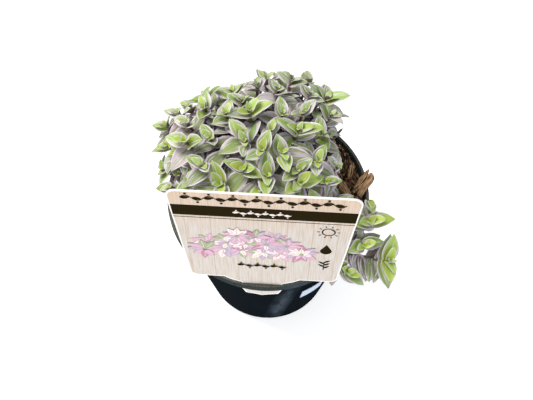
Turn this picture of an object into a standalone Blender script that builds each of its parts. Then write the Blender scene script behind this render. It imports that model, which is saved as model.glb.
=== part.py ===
"""Turtle vine in a black nursery pot, with its plant label, modelled in metres with +Z up.

The origin is the middle of the pot's flat foot. The label stands at the front, on -Y.
"""
import math
import random
from dataclasses import dataclass, field

import bmesh
import bpy
from mathutils import Matrix, Vector
from mathutils.bvhtree import BVHTree

# Pot: a 130 mm nursery pot with a thick rim band
POT_HEIGHT = 0.115
RIM_RADIUS = 0.065
RIM_LIP = 0.0630
RIM_BAND = 0.007
RIM_EDGE = 0.0004
WALL_TOP_RADIUS = 0.0614
FOOT_RADIUS = 0.0455
FOOT_ROUND = 0.0030
FOOT_ROUND_STEPS = 3
WALL = 0.0014
FLOOR = 0.0020
POT_STEPS = 44
DRAIN_HOLES = 8
DRAIN_RADIUS = 0.0035
DRAIN_CIRCLE = 0.034
DRAIN_SIDES = 7
BAND_LOW = POT_HEIGHT - RIM_BAND

# Touching pieces keep this gap, and edges sharper than this angle stay crisp
GAP = 0.0003
SHARP_ANGLE = math.radians(35)

# Plant label: a wide head that leans back over the plant, and a tongue down through the rim
LABEL_THICK = 0.0008
LABEL_Y = -0.0624
LABEL_LEAN = math.radians(5)
LABEL_BEND = 0.0024
LABEL_SHIFT = 0.001
HEAD_TOP = 0.0964
HEAD_LOW = 0.0076
HEAD_TOP_HALF = 0.0492
HEAD_LOW_HALF = 0.0428
HEAD_CORNER = 0.0050
TONGUE_HALF = 0.0122
TONGUE_SHOULDERS = ((0.0225, 0.0076), (0.0178, 0.0040), (0.0142, 0.0022), (0.0122, 0.0012))
TONGUE_FLARE = -0.0085
TONGUE_END = (0.0100, -0.0155)
TONGUE_TIP = -0.0190
TONGUE_HOLE = (0.0030, 0.0009, -0.0105)
TONGUE_HOLE_SIDES = 10
CORNER_STEPS = 4
CUT_MARGIN = 0.002
SLOT_HALF = 0.0126
SLOT_WIDTH = LABEL_THICK + 2 * GAP

# Sticker on the wall: bearings round the pot and heights
STICKER_BEARINGS = (math.radians(-63), math.radians(-46))
STICKER_HEIGHTS = (0.057, 0.074)
STICKER_THICK = 0.0004
STICKER_STEPS = 6

# Potting mix: its lumps are waves with a pace along X and Y, a start and a height
MIX_TOP = 0.1078
MIX_WAVES = (
    (190.0, 0.0, 1.3, 0.0005),
    (0.0, 230.0, 0.9, 0.0005),
    (330.0, -350.0, 0.0, 0.0004),
)
MIX_EDGE_DROP = 0.0020
MIX_RINGS = 5
MIX_STEPS = 26
FOOT_HOLE = 0.0026
FOOT_HOLE_LOW = 0.0965

# Bark chips: place, size, turns in degrees about X, Y and Z, seed
BARK_CHIPS = (
    ("bark_chip_1", (0.0612, 0.0085), (0.0200, 0.0085, 0.0060), (0, -28, 50), 3),
    ("bark_chip_2", (0.0432, 0.0105), (0.0170, 0.0080, 0.0055), (4, 0, -60), 8),
    ("bark_chip_3", (0.0472, 0.0245), (0.0125, 0.0070, 0.0045), (0, 6, 80), 5),
    ("bark_chip_4", (0.0362, 0.0235), (0.0095, 0.0060, 0.0045), (5, 0, 20), 14),
    ("bark_chip_5", (0.0395, 0.0345), (0.0100, 0.0060, 0.0040), (0, 0, 125), 21),
    ("bark_chip_6", (0.0490, -0.0075), (0.0140, 0.0075, 0.0050), (0, 5, 35), 30),
)
CHIP_STATIONS = (-0.5, -0.12, 0.22, 0.5)
CHIP_TAPER = 0.55
CHIP_UNEVEN = (0.25, 0.20, 0.30)
REST_STEP = 0.0005

# Canopy: the dome that the shoot tips reach, with lobes at the rear right and the left, and
# hollows at the rear, over the bark and beside the label
CANOPY_CENTRE = Vector((-0.0025, 0.0062, POT_HEIGHT - 0.002))
CANOPY_SIDE = 0.0615
CANOPY_LEFT = 0.0040
CANOPY_RISE = 0.0590
CANOPY_POWER = 2.6
CANOPY_SWELLS = (
    (math.radians(70), math.radians(23), 0.0085),
    (math.radians(10), math.radians(19), -0.0175),
    (math.radians(222), math.radians(24), -0.0150),
    (math.radians(318), math.radians(24), -0.0100),
    (math.radians(116), math.radians(16), -0.0060),
    (math.radians(154), math.radians(16), 0.0070),
)
SHOOTS_WANTED = 70
CANDIDATES = 40
LEAST_SPACING = 0.0110
LOWEST_LEAN = math.radians(88)
TIP_SHIFT = (-0.0025, 0.0015)
TURN_UP = 0.62
SPRAYS = 26
GATHER_ROUNDS = 6
FOOT_SHARE = 0.58
FOOT_REACH = 0.047
FOOT_PUSH = 0.0012
FOOT_ROUNDS = 60

# Room that the plant keeps from the rim, the mix, the label and the bark, which it leaves bare
RIM_INSET = 0.0045
KEEP_OFF = 0.0007
TIP_ROOM = 0.0025
LOWEST_LEAF = POT_HEIGHT - 0.045
BARE_X = 0.0445
BARE_Y = (-0.012, 0.047)
BESIDE_LABEL = 0.004
BELOW_LABEL = -0.020

# Shoots that lead the mound: bearing, lean, heading of the leaf pair (degrees) and size
LEADING_SHOOTS = (
    (120, 20, 22, 1.25), (185, 12, 124, 1.15), (182, 44, 168, 1.15), (180, 31, 127, 0.90),
    (148, 42, 89, 1.05), (205, 53, 35, 0.95), (206, 38, 146, 0.95), (229, 38, 107, 1.20),
    (244, 23, 159, 1.10), (203, 12, 100, 0.95), (166, 45, 150, 0.90), (82, 36, 128, 0.90),
    (44, 29, 45, 0.95), (33, 46, -28, 0.95), (18, 20, -7, 1.25), (264, 11, 64, 1.05),
    (314, 15, -70, 1.10), (340, 32, 80, 1.00), (316, 27, 37, 0.95), (276, 24, 85, 1.15),
    (309, 33, 36, 1.15), (330, 43, 10, 0.90), (75, 48, 160, 0.95), (48, 52, -10, 1.30),
    (100, 44, 60, 0.90), (172, 66, 190, 1.00), (158, 72, 165, 1.05), (144, 64, 130, 1.00),
    (194, 74, 178, 0.95),
)

# Leaves
LEAF_LENGTH = 0.0130
LEAF_WIDTH = 0.0084
LEAF_THICK = 0.0009
LEAF_STATIONS = (0.27, 0.64)
LEAF_ROOT = -0.03
LEAF_FOLD = 0.42
LEAF_CURL = 0.16
LEAF_POINT = 1.2
LEAF_HEEL = 0.4
LEAF_BELLY = 3.0
LEAF_WIDEST = 0.867
LEAF_STEP = 0.0013
LEAF_TO_LIGHT = 0.7

# Stems
STEM_RADIUS = 0.0010
STEM_SIDES = 3
NECK = 0.0105
BUD = 0.0045
STEM_SUNK = 0.0010
STEM_STAGGER = 0.0003
STEM_RISE = (0.45, 0.004)
STEM_SPREAD = 0.25
STEM_BENDS = (0.002, 0.004, 0.006, 0.009)
BEND_WAYS = 8
CROWN_RADIUS = FOOT_HOLE - GAP - 0.0002
CROWN_SIDES = 6
CROWN_LOW = FOOT_HOLE_LOW + GAP
CROWN_RISE = 0.0036

# Trailing stems over the rim at the right front: route in millimetres, leaf pair heading, size
TRAILING_STEMS = (
    ("trailing_stem_1", ((41, -14, 110), (52, -18, 119), (60, -21, 120), (63, -24, 129)), 5, 1.30),
    ("trailing_stem_2", ((38, -24, 110), (49, -30, 118), (57, -34, 118), (60, -38, 125)), 20, 1.05),
    ("trailing_stem_3", ((32, -34, 110), (44, -40, 118), (58, -42, 118), (70, -45, 118), (74, -48, 126)),
     95, 1.25),
    ("trailing_stem_4", ((24, -41, 110), (35, -46, 118), (45, -51, 117), (50, -55, 123)), -35, 1.10),
    ("trailing_stem_5", ((41, -4, 110), (51, -8, 119), (60, -10, 122), (63, -11, 131)), -75, 0.95),
)

SEED = 31


@dataclass
class Blade:
    """One leaf blade: where it starts, where it points, which way its face looks, and its form."""

    base: Vector
    along: Vector
    face: Vector
    length: float
    width: float
    fold: float
    curl: float

    def point(self, share, side, lift=0.0):
        """Point of the blade: share from base to tip, side from -1 to 1, lift off its middle."""
        half = self.width / 2 * leaf_outline(max(share, 0.0))
        across = self.face.cross(self.along)
        rise = self.fold * half * abs(side) - self.curl * self.length * share * share + lift
        return self.base + self.along * (self.length * share) + across * (half * side) + self.face * rise


@dataclass
class Tier:
    """A pair of leaves on a shoot: depth under its tip, splay from its axis, turn and size."""

    below: float
    splay: float
    turn: float
    size: float


@dataclass
class Shoot:
    """A leafy shoot: its tip, the way it grows, the heading of its main leaf pair and its size."""

    tip: Vector
    axis: Vector
    heading: float
    size: float
    route: list = field(default_factory=list)
    blades: list = field(default_factory=list)
    tiers: tuple = ()


MAIN_TIERS = (
    Tier(0.0022, math.radians(52), 0.0, 1.00),
    Tier(0.0076, math.radians(76), math.radians(64), 1.25),
)
TRAILING_TIERS = (
    Tier(0.0020, math.radians(50), 0.0, 1.00),
    Tier(0.0065, math.radians(62), math.radians(8), 1.00),
    Tier(0.0120, math.radians(62), math.radians(-6), 0.95),
    Tier(0.0175, math.radians(62), math.radians(5), 0.90),
)


def leaf_outline(share):
    """Half width of a pointed oval leaf, as a share of its greatest half width."""
    return max(1.0 - share, 0.0) ** LEAF_POINT * (LEAF_HEEL + LEAF_BELLY * share) / LEAF_WIDEST


def mix_height(x, y):
    """Top of the potting mix over a point."""
    top = MIX_TOP
    for pace_x, pace_y, start, height in MIX_WAVES:
        top += height * math.sin(pace_x * x + pace_y * y + start)
    return top


def wall_radius(height):
    """Outer radius of the pot's wall at a height."""
    return FOOT_RADIUS + (WALL_TOP_RADIUS - FOOT_RADIUS) * height / BAND_LOW


def clear_object_list():
    """Empty the scene."""
    for thing in list(bpy.data.objects):
        bpy.data.objects.remove(thing, do_unlink=True)


def finish(name, colour, roughness, metallic=0.0):
    """Plain material of one sub-part."""
    material = bpy.data.materials.new(name)
    material.use_nodes = True
    shader = material.node_tree.nodes["Principled BSDF"]
    shader.inputs["Base Color"].default_value = (*colour, 1.0)
    shader.inputs["Roughness"].default_value = roughness
    shader.inputs["Metallic"].default_value = metallic
    return material


def add_object(name, verts, faces, material=None):
    """Object from vertices and faces, with its faces turned outwards."""
    mesh = bpy.data.meshes.new(name)
    mesh.from_pydata([tuple(v) for v in verts], [], faces)
    work = bmesh.new()
    work.from_mesh(mesh)
    bmesh.ops.recalc_face_normals(work, faces=work.faces)
    work.to_mesh(mesh)
    work.free()
    if material:
        mesh.materials.append(material)
    thing = bpy.data.objects.new(name, mesh)
    bpy.context.collection.objects.link(thing)
    return thing


def hide_cutter(cutter):
    """Mark a cutting shape, which is no part of the model."""
    cutter.hide_render = True
    cutter.display_type = "WIRE"
    cutter.hide_set(True)


def cut(target, cutter):
    """Cut one shape out of another."""
    modifier = target.modifiers.new("cut", "BOOLEAN")
    modifier.operation = "DIFFERENCE"
    modifier.object = cutter
    hide_cutter(cutter)


def settle(thing):
    """Keep a piece's finished mesh in place of its modifiers, smooth between its crisp edges."""
    scene_state = bpy.context.evaluated_depsgraph_get()
    mesh = bpy.data.meshes.new_from_object(thing.evaluated_get(scene_state))
    cutters = [modifier.object for modifier in thing.modifiers if modifier.type == "BOOLEAN"]
    thing.modifiers.clear()
    thing.data = mesh
    for cutter in cutters:
        bpy.data.objects.remove(cutter, do_unlink=True)
    mesh.shade_smooth()
    mesh.set_sharp_from_angle(angle=SHARP_ANGLE)


def bar_faces(sides):
    """Faces of a bar between two rings of vertices, closed at both ends."""
    faces = [tuple(range(sides)), tuple(range(sides, 2 * sides))]
    for step in range(sides):
        after = (step + 1) % sides
        faces.append((step, after, sides + after, sides + step))
    return faces


def prism(centre, radius, low, high, sides):
    """Vertices and faces of an upright prism."""
    verts = []
    for height in (low, high):
        for step in range(sides):
            angle = 2 * math.pi * step / sides
            x, y = centre[0] + radius * math.cos(angle), centre[1] + radius * math.sin(angle)
            verts.append(Vector((x, y, height)))
    return verts, bar_faces(sides)


def join_lists(pieces):
    """One list of vertices and one of faces from several."""
    verts, faces = [], []
    for piece_verts, piece_faces in pieces:
        start = len(verts)
        verts += piece_verts
        faces += [tuple(start + index for index in face) for face in piece_faces]
    return verts, faces


def make_pot():
    """Pot turned about Z, with a label slot through its rim band and drain holes in its floor."""
    floor_radius = wall_radius(FLOOR) - WALL
    profile = [(0, FLOOR), (floor_radius, FLOOR), (wall_radius(BAND_LOW) - WALL, BAND_LOW)]
    profile += [(RIM_LIP - RIM_EDGE, POT_HEIGHT - RIM_EDGE), (RIM_LIP, POT_HEIGHT)]
    profile += [(RIM_RADIUS - RIM_EDGE, POT_HEIGHT), (RIM_RADIUS, POT_HEIGHT - RIM_EDGE)]
    profile += [(RIM_RADIUS, BAND_LOW + RIM_EDGE), (RIM_RADIUS - RIM_EDGE, BAND_LOW)]
    profile += [(wall_radius(BAND_LOW), BAND_LOW)]
    for step in range(FOOT_ROUND_STEPS + 1):
        angle = math.radians(90) * step / FOOT_ROUND_STEPS
        radius = wall_radius(FOOT_ROUND) - FOOT_ROUND + FOOT_ROUND * math.cos(angle)
        profile.append((radius, FOOT_ROUND - FOOT_ROUND * math.sin(angle)))
    profile.append((0, 0))
    mesh = bpy.data.meshes.new("nursery_pot")
    mesh.from_pydata([(r, 0, z) for r, z in profile], [(i, i + 1) for i in range(len(profile) - 1)], [])
    mesh.materials.append(finish("moulded black plastic", (0.012, 0.016, 0.019), 0.32))
    pot = bpy.data.objects.new("nursery_pot", mesh)
    bpy.context.collection.objects.link(pot)
    turn = pot.modifiers.new("turn", "SCREW")
    turn.angle = 2 * math.pi
    turn.steps = turn.render_steps = POT_STEPS
    turn.use_merge_vertices = True
    turn.merge_threshold = 0.00005
    turn.use_smooth_shade = False
    half_y = SLOT_WIDTH / 2
    corners = ((-SLOT_HALF, -half_y), (SLOT_HALF, -half_y), (SLOT_HALF, half_y), (-SLOT_HALF, half_y))
    ends = (BAND_LOW - CUT_MARGIN, POT_HEIGHT + CUT_MARGIN)
    verts = [Vector((x, LABEL_Y + y, z)) for z in ends for x, y in corners]
    cut(pot, add_object("slot_cutter", verts, bar_faces(4)))
    holes = []
    for step in range(DRAIN_HOLES):
        angle = 2 * math.pi * (step + 0.5) / DRAIN_HOLES
        centre = (DRAIN_CIRCLE * math.cos(angle), DRAIN_CIRCLE * math.sin(angle))
        holes.append(prism(centre, DRAIN_RADIUS, -CUT_MARGIN, FLOOR + CUT_MARGIN, DRAIN_SIDES))
    cut(pot, add_object("drain_cutter", *join_lists(holes)))
    settle(pot)
    return pot


def make_mix(feet):
    """Potting mix: fills the pot to just under the rim, with lumps on top and a hole for each foot."""
    low = FLOOR + GAP
    inner_top = wall_radius(MIX_TOP - MIX_EDGE_DROP) - WALL - GAP
    inner_low = wall_radius(low) - WALL - 2 * GAP
    verts = [Vector((0, 0, mix_height(0, 0)))]
    for ring in range(1, MIX_RINGS + 1):
        for step in range(MIX_STEPS):
            angle = 2 * math.pi * step / MIX_STEPS
            radius = inner_top * ring / MIX_RINGS
            x, y = radius * math.cos(angle), radius * math.sin(angle)
            height = mix_height(x, y) if ring < MIX_RINGS else MIX_TOP - MIX_EDGE_DROP
            verts.append(Vector((x, y, height)))
    for step in range(MIX_STEPS):
        angle = 2 * math.pi * step / MIX_STEPS
        verts.append(Vector((inner_low * math.cos(angle), inner_low * math.sin(angle), low)))
    faces = []
    for step in range(MIX_STEPS):
        after = (step + 1) % MIX_STEPS
        faces.append((0, 1 + step, 1 + after))
        for ring in range(MIX_RINGS):
            near, far = 1 + ring * MIX_STEPS, 1 + (ring + 1) * MIX_STEPS
            faces.append((near + step, far + step, far + after))
            faces.append((near + step, far + after, near + after))
    last = 1 + MIX_RINGS * MIX_STEPS
    faces.append(tuple(range(last, last + MIX_STEPS)))
    mix = add_object("potting_mix", verts, faces, finish("peat and bark mix", (0.045, 0.028, 0.018), 0.95))
    holes = [prism(foot, FOOT_HOLE, FOOT_HOLE_LOW, POT_HEIGHT, CROWN_SIDES) for foot in feet]
    cut(mix, add_object("foot_cutter", *join_lists(holes)))
    return mix


def label_outline():
    """Outline of the flat label in width and height over the rim, anticlockwise from its tip."""
    tongue = [TONGUE_END, (TONGUE_HALF, TONGUE_FLARE), *reversed(TONGUE_SHOULDERS)]
    head = []
    slope = (HEAD_TOP_HALF - HEAD_LOW_HALF) / (HEAD_TOP - HEAD_LOW)
    for middle_s, start in ((HEAD_LOW + HEAD_CORNER, -90), (HEAD_TOP - HEAD_CORNER, 0)):
        middle_x = HEAD_LOW_HALF + slope * (middle_s - HEAD_LOW) - HEAD_CORNER
        for step in range(CORNER_STEPS + 1):
            angle = math.radians(start + 90 * step / CORNER_STEPS)
            x = LABEL_SHIFT + middle_x + HEAD_CORNER * math.cos(angle)
            head.append((x, middle_s + HEAD_CORNER * math.sin(angle)))
    left_head = [(2 * LABEL_SHIFT - x, s) for x, s in reversed(head)]
    left_tongue = [(-x, s) for x, s in reversed(tongue)]
    return [(0.0, TONGUE_TIP), *tongue, *head, *left_head, *left_tongue]


def make_label():
    """Plant label: one sheet whose head leans back and whose tongue stands straight in the slot."""
    mesh = bpy.data.meshes.new("plant_label")
    work = bmesh.new()
    corners = [work.verts.new((x, 0, s)) for x, s in label_outline()]
    work.faces.new(corners)
    geometry = work.verts[:] + work.edges[:] + work.faces[:]
    bmesh.ops.bisect_plane(work, geom=geometry, plane_co=(0, 0, LABEL_BEND), plane_no=(0, 0, 1))
    for vert in work.verts:
        over = vert.co.z - LABEL_BEND
        if over > 0:
            vert.co.y = over * math.sin(LABEL_LEAN)
            vert.co.z = LABEL_BEND + over * math.cos(LABEL_LEAN)
    for vert in work.verts:
        vert.co += Vector((0, LABEL_Y, POT_HEIGHT))
    bmesh.ops.triangulate(work, faces=work.faces)
    work.to_mesh(mesh)
    work.free()
    mesh.materials.append(finish("printed polypropylene sheet", (0.83, 0.74, 0.64), 0.35))
    label = bpy.data.objects.new("plant_label", mesh)
    bpy.context.collection.objects.link(label)
    thicken = label.modifiers.new("thickness", "SOLIDIFY")
    thicken.thickness = LABEL_THICK
    thicken.offset = 0
    half_x, half_s, middle = TONGUE_HOLE
    rings = []
    for y in (-CUT_MARGIN, CUT_MARGIN):
        for step in range(TONGUE_HOLE_SIDES):
            angle = 2 * math.pi * step / TONGUE_HOLE_SIDES
            x, s = half_x * math.cos(angle), middle + half_s * math.sin(angle)
            rings.append(Vector((x, LABEL_Y + y, POT_HEIGHT + s)))
    cut(label, add_object("tongue_hole_cutter", rings, bar_faces(TONGUE_HOLE_SIDES)))
    settle(label)


def make_sticker():
    """Blank sticker that follows the round, tapering wall."""
    start, end = STICKER_BEARINGS
    verts = []
    for height in STICKER_HEIGHTS:
        for offset in (GAP, GAP + STICKER_THICK):
            for step in range(STICKER_STEPS + 1):
                angle = start + (end - start) * step / STICKER_STEPS
                radius = wall_radius(height) + offset
                verts.append(Vector((radius * math.cos(angle), radius * math.sin(angle), height)))
    row = STICKER_STEPS + 1
    faces = []
    for step in range(STICKER_STEPS):
        inner_low, outer_low, inner_high, outer_high = (k * row + step for k in range(4))
        faces.append((inner_low, inner_low + 1, inner_high + 1, inner_high))
        faces.append((outer_low, outer_low + 1, outer_high + 1, outer_high))
        faces.append((inner_low, inner_low + 1, outer_low + 1, outer_low))
        faces.append((inner_high, inner_high + 1, outer_high + 1, outer_high))
    for step in (0, STICKER_STEPS):
        faces.append(tuple(k * row + step for k in (0, 1, 3, 2)))
    settle(add_object("wall_sticker", verts, faces, finish("coated paper", (0.80, 0.84, 0.88), 0.45)))


def drop_height(work, centre, grounds):
    """Height at which a chip's lowest face lies one gap over the mix and the rim."""
    chip = BVHTree.FromBMesh(work)
    reach = max(max(abs(v.co.x), abs(v.co.y)) for v in work.verts)
    steps = math.ceil(reach / REST_STEP)
    lifts = []
    for column in range(-steps, steps + 1):
        for row in range(-steps, steps + 1):
            x, y = column * REST_STEP, row * REST_STEP
            under = chip.ray_cast(Vector((x, y, -1.0)), Vector((0, 0, 1)))[0]
            for ground in grounds:
                over = ground.ray_cast(Vector((centre[0] + x, centre[1] + y, 1.0)), Vector((0, 0, -1)))[0]
                if under and over:
                    lifts.append(over.z - under.z)
    return max(lifts) + GAP


def make_chip(name, centre, size, turns, seed, grounds):
    """Bark chip: a split, angular chunk that lies just clear of the mix and the rim."""
    rng = random.Random(seed)
    about_x, about_y, about_z = (math.radians(degrees) for degrees in turns)
    turn = Matrix.Rotation(about_z, 3, "Z") @ Matrix.Rotation(about_y, 3, "Y")
    turn = turn @ Matrix.Rotation(about_x, 3, "X")
    work = bmesh.new()
    for x in CHIP_STATIONS:
        for y in (-0.5, 0.5):
            for z in (-0.5, 0.5):
                taper = 1.0 - CHIP_TAPER * abs(x) * rng.random()
                shrink = [1 - share * rng.random() for share in CHIP_UNEVEN]
                corner = Vector((x * shrink[0], y * taper * shrink[1], z * taper * shrink[2]))
                work.verts.new(turn @ (corner * Vector(size)))
    hull = bmesh.ops.convex_hull(work, input=work.verts)
    inner = set(hull["geom_interior"] + hull["geom_unused"])
    loose = [vert for vert in work.verts if vert in inner]
    bmesh.ops.delete(work, geom=loose, context="VERTS")
    bmesh.ops.translate(work, verts=work.verts, vec=(*centre, drop_height(work, centre, grounds)))
    bmesh.ops.recalc_face_normals(work, faces=work.faces)
    mesh = bpy.data.meshes.new(name)
    work.to_mesh(mesh)
    work.free()
    mesh.materials.append(finish(name + " bark", (0.26, 0.16, 0.09), 0.9))
    bpy.context.collection.objects.link(bpy.data.objects.new(name, mesh))


def swing(angle, centre, spread):
    """How near an angle is to a centre, from 0 to 1."""
    apart = (angle - centre + math.pi) % (2 * math.pi) - math.pi
    return math.exp(-((apart / spread) ** 2))


def canopy_point(bearing, lean):
    """Point on the canopy's dome at a bearing round the pot and a lean from upright."""
    side = CANOPY_SIDE + CANOPY_LEFT * (1 - math.cos(bearing)) / 2
    side += sum(depth * swing(bearing, centre, spread) for centre, spread, depth in CANOPY_SWELLS)
    flat = (math.sin(lean) / side) ** CANOPY_POWER
    upright = (abs(math.cos(lean)) / CANOPY_RISE) ** CANOPY_POWER
    reach = (flat + upright) ** (-1 / CANOPY_POWER)
    out = Vector((math.cos(bearing), math.sin(bearing), 0))
    return CANOPY_CENTRE + out * (reach * math.sin(lean)) + Vector((0, 0, reach * math.cos(lean)))


def canopy_axis(bearing, lean):
    """Way that a shoot grows: outwards, turning up towards the light."""
    out = Vector((math.cos(bearing), math.sin(bearing), 0))
    tilt = TURN_UP * lean
    return (out * math.sin(tilt) + Vector((0, 0, math.cos(tilt)))).normalized()


def label_back(height):
    """Y of the label's back face at a height over the rim."""
    return LABEL_Y + LABEL_THICK / 2 + max(height - LABEL_BEND, 0.0) * math.tan(LABEL_LEAN)


def is_clear(point, margin):
    """Whether a point is outside the pot, the mix, the label and the bark, by a margin."""
    room = margin + KEEP_OFF
    radius = math.hypot(point.x, point.y)
    over_rim = point.z - POT_HEIGHT
    if radius < RIM_LIP - RIM_INSET:
        if point.z < mix_height(point.x, point.y) + room:
            return False
    elif radius < RIM_RADIUS + room and over_rim < room:
        return False
    if point.z < LOWEST_LEAF:
        return False
    if point.x > BARE_X and BARE_Y[0] < point.y < BARE_Y[1]:
        return False
    aside = abs(point.x - LABEL_SHIFT)
    if aside < HEAD_TOP_HALF + BESIDE_LABEL and over_rim > BELOW_LABEL:
        half = HEAD_LOW_HALF + (HEAD_TOP_HALF - HEAD_LOW_HALF) * max(over_rim, 0) / HEAD_TOP
        if aside < half + room and point.y < label_back(over_rim) + room:
            return False
    for _, centre, size, _, _ in BARK_CHIPS:
        apart = math.hypot(point.x - centre[0], point.y - centre[1])
        if apart < size[0] / 2 + KEEP_OFF and point.z < MIX_TOP + size[1] + margin:
            return False
    return True


def blade_lens(blade, grow=0.0):
    """Vertices of a blade as a thin lens: thick at its rib, closed at its edges and tip."""
    wide = Blade(blade.base, blade.along, blade.face, blade.length + grow, blade.width + 2 * grow,
                 blade.fold, blade.curl)
    half = LEAF_THICK / 2 + grow
    verts = [wide.point(LEAF_ROOT, 0)]
    for share in LEAF_STATIONS:
        verts += [wide.point(share, -1), wide.point(share, 0, half)]
        verts += [wide.point(share, 1), wide.point(share, 0, -half)]
    verts.append(wide.point(1, 0))
    return verts


BLADE_FACES = (
    (0, 1, 2), (0, 2, 3), (0, 3, 4), (0, 4, 1),
    (1, 5, 6), (1, 6, 2), (2, 6, 3), (6, 7, 3), (3, 7, 8), (3, 8, 4), (4, 8, 1), (8, 5, 1),
    (5, 9, 6), (6, 9, 7), (7, 9, 8), (8, 9, 5),
)


def stem_tube(route, radius, bud):
    """Vertices and faces of a slim stem along a route, with a pointed bud past its end."""
    verts, faces = [], []
    side = Vector((1, 0, 0))
    for index, point in enumerate(route):
        before, after = route[max(index - 1, 0)], route[min(index + 1, len(route) - 1)]
        ahead = (after - before).normalized()
        side = (side - ahead * side.dot(ahead)).normalized()
        across = ahead.cross(side)
        for step in range(STEM_SIDES):
            angle = 2 * math.pi * step / STEM_SIDES
            verts.append(point + side * (radius * math.cos(angle)) + across * (radius * math.sin(angle)))
    for ring in range(len(route) - 1):
        for step in range(STEM_SIDES):
            near = ring * STEM_SIDES
            after = (step + 1) % STEM_SIDES
            faces.append((near + step, near + after, near + STEM_SIDES + after))
            faces.append((near + step, near + STEM_SIDES + after, near + STEM_SIDES + step))
    faces.append(tuple(range(STEM_SIDES)))
    last = (len(route) - 1) * STEM_SIDES
    ahead = (route[-1] - route[-2]).normalized()
    verts.append(route[-1] + ahead * bud)
    for step in range(STEM_SIDES):
        faces.append((last + step, last + (step + 1) % STEM_SIDES, len(verts) - 1))
    return verts, faces


def tree_of(verts, faces):
    """Search tree of a small mesh, used to find crossings."""
    return BVHTree.FromPolygons([tuple(v) for v in verts], faces)


class Crowd:
    """Pieces of the plant placed so far, asked whether a new piece would cross one."""

    def __init__(self):
        self.pieces = []

    def add(self, verts, faces, spray, number):
        """Keep a piece of a spray's numbered shoot."""
        middle = sum(verts, Vector()) / len(verts)
        reach = max((v - middle).length for v in verts)
        self.pieces.append((middle, reach, tree_of(verts, faces), spray, number))

    def crosses(self, verts, faces, spray, number=None):
        """Whether a piece crosses one of another spray or, given a number, of another shoot."""
        middle = sum(verts, Vector()) / len(verts)
        reach = max((v - middle).length for v in verts)
        tree = tree_of(verts, faces)
        for other_middle, other_reach, other_tree, other_spray, other_number in self.pieces:
            if other_spray == spray and number in (None, other_number):
                continue
            if (other_middle - middle).length < reach + other_reach and tree.overlap(other_tree):
                return True
        return False


def has_room(tip, axis):
    """Whether a shoot can end here: its tip and the straight stem under it are clear."""
    return all(is_clear(tip - axis * back, TIP_ROOM) for back in (0.0, NECK / 2, NECK))


def place_shoots(rng):
    """Shoot tips over the canopy: the leading shoots, then each next one where most room is left."""
    shoots = []
    for bearing, lean, heading, size in LEADING_SHOOTS:
        place = math.radians(bearing), math.radians(lean)
        shoots.append(Shoot(canopy_point(*place), canopy_axis(*place), math.radians(heading), size))
    taken = [shoot.tip for shoot in shoots]
    taken += [Vector(route[-1]) / 1000 for _, route, _, _ in TRAILING_STEMS]
    while len(shoots) < SHOOTS_WANTED:
        places = []
        while len(places) < CANDIDATES:
            bearing = rng.uniform(0, 2 * math.pi)
            lean = math.acos(rng.uniform(math.cos(LOWEST_LEAN), 1.0))
            tip, axis = canopy_point(bearing, lean), canopy_axis(bearing, lean)
            if has_room(tip, axis):
                places.append((min((tip - other).length for other in taken), bearing, tip, axis))
        room, bearing, tip, axis = max(places, key=lambda place: place[0])
        if room < LEAST_SPACING:
            break
        shoots.append(Shoot(tip, axis, rng.uniform(0, math.pi), rng.uniform(0.86, 1.10)))
        taken.append(tip)
    for shoot in shoots:
        shoot.tip = shoot.tip + shoot.axis * rng.uniform(*TIP_SHIFT)
        shoot.tiers = MAIN_TIERS
    return shoots


def gather_sprays(shoots):
    """Shoots in sprays of near neighbours, each spray round its own middle."""
    middles = [shoots[0].tip]
    while len(middles) < SPRAYS:
        middles.append(max((s.tip for s in shoots), key=lambda tip: min((tip - m).length for m in middles)))
    for _ in range(GATHER_ROUNDS):
        groups = [[] for _ in middles]
        for shoot in shoots:
            nearest = min(range(len(middles)), key=lambda k: (shoot.tip - middles[k]).length)
            groups[nearest].append(shoot)
        middles = [sum((s.tip for s in group), Vector()) / len(group) if group else m
                   for group, m in zip(groups, middles)]
    return [group for group in groups if group]


def foot_of(group, feet):
    """Foot of a spray in the mix, under its shoots and clear of the other feet."""
    middle = sum((s.tip for s in group), Vector()) / len(group)
    foot = Vector((middle.x, middle.y)) * FOOT_SHARE
    if foot.length > FOOT_REACH:
        foot = foot.normalized() * FOOT_REACH
    for _ in range(FOOT_ROUNDS):
        close = [foot - other for other in feet if (foot - other).length < 3 * FOOT_HOLE]
        if not close:
            break
        foot = foot + sum(close, Vector((GAP, GAP))).normalized() * FOOT_PUSH
    return foot


def crown_top(foot):
    """Top of a spray's foot, just over the mix round it."""
    return mix_height(foot.x, foot.y) + CROWN_RISE


def shoot_route(foot, shoot, rank, bend):
    """Stem from the foot to the tip: it rises, leans out and ends straight along the shoot."""
    start = Vector((foot.x, foot.y, crown_top(foot) - STEM_SUNK - STEM_STAGGER * rank))
    neck = shoot.tip - shoot.axis * NECK
    rise = Vector((foot.x, foot.y, start.z + STEM_RISE[0] * (neck.z - start.z) + STEM_RISE[1]))
    middle = rise + (start + neck - 2 * rise) * STEM_SPREAD + bend
    return [start, middle, neck, shoot.tip]


def stem_bends():
    """Sideways bends that a stem tries, smallest first."""
    bends = [Vector((0, 0, 0))]
    for reach in STEM_BENDS:
        for step in range(BEND_WAYS):
            angle = 2 * math.pi * step / BEND_WAYS
            bends.append(Vector((reach * math.cos(angle), reach * math.sin(angle), 0.0)))
    return bends


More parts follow.
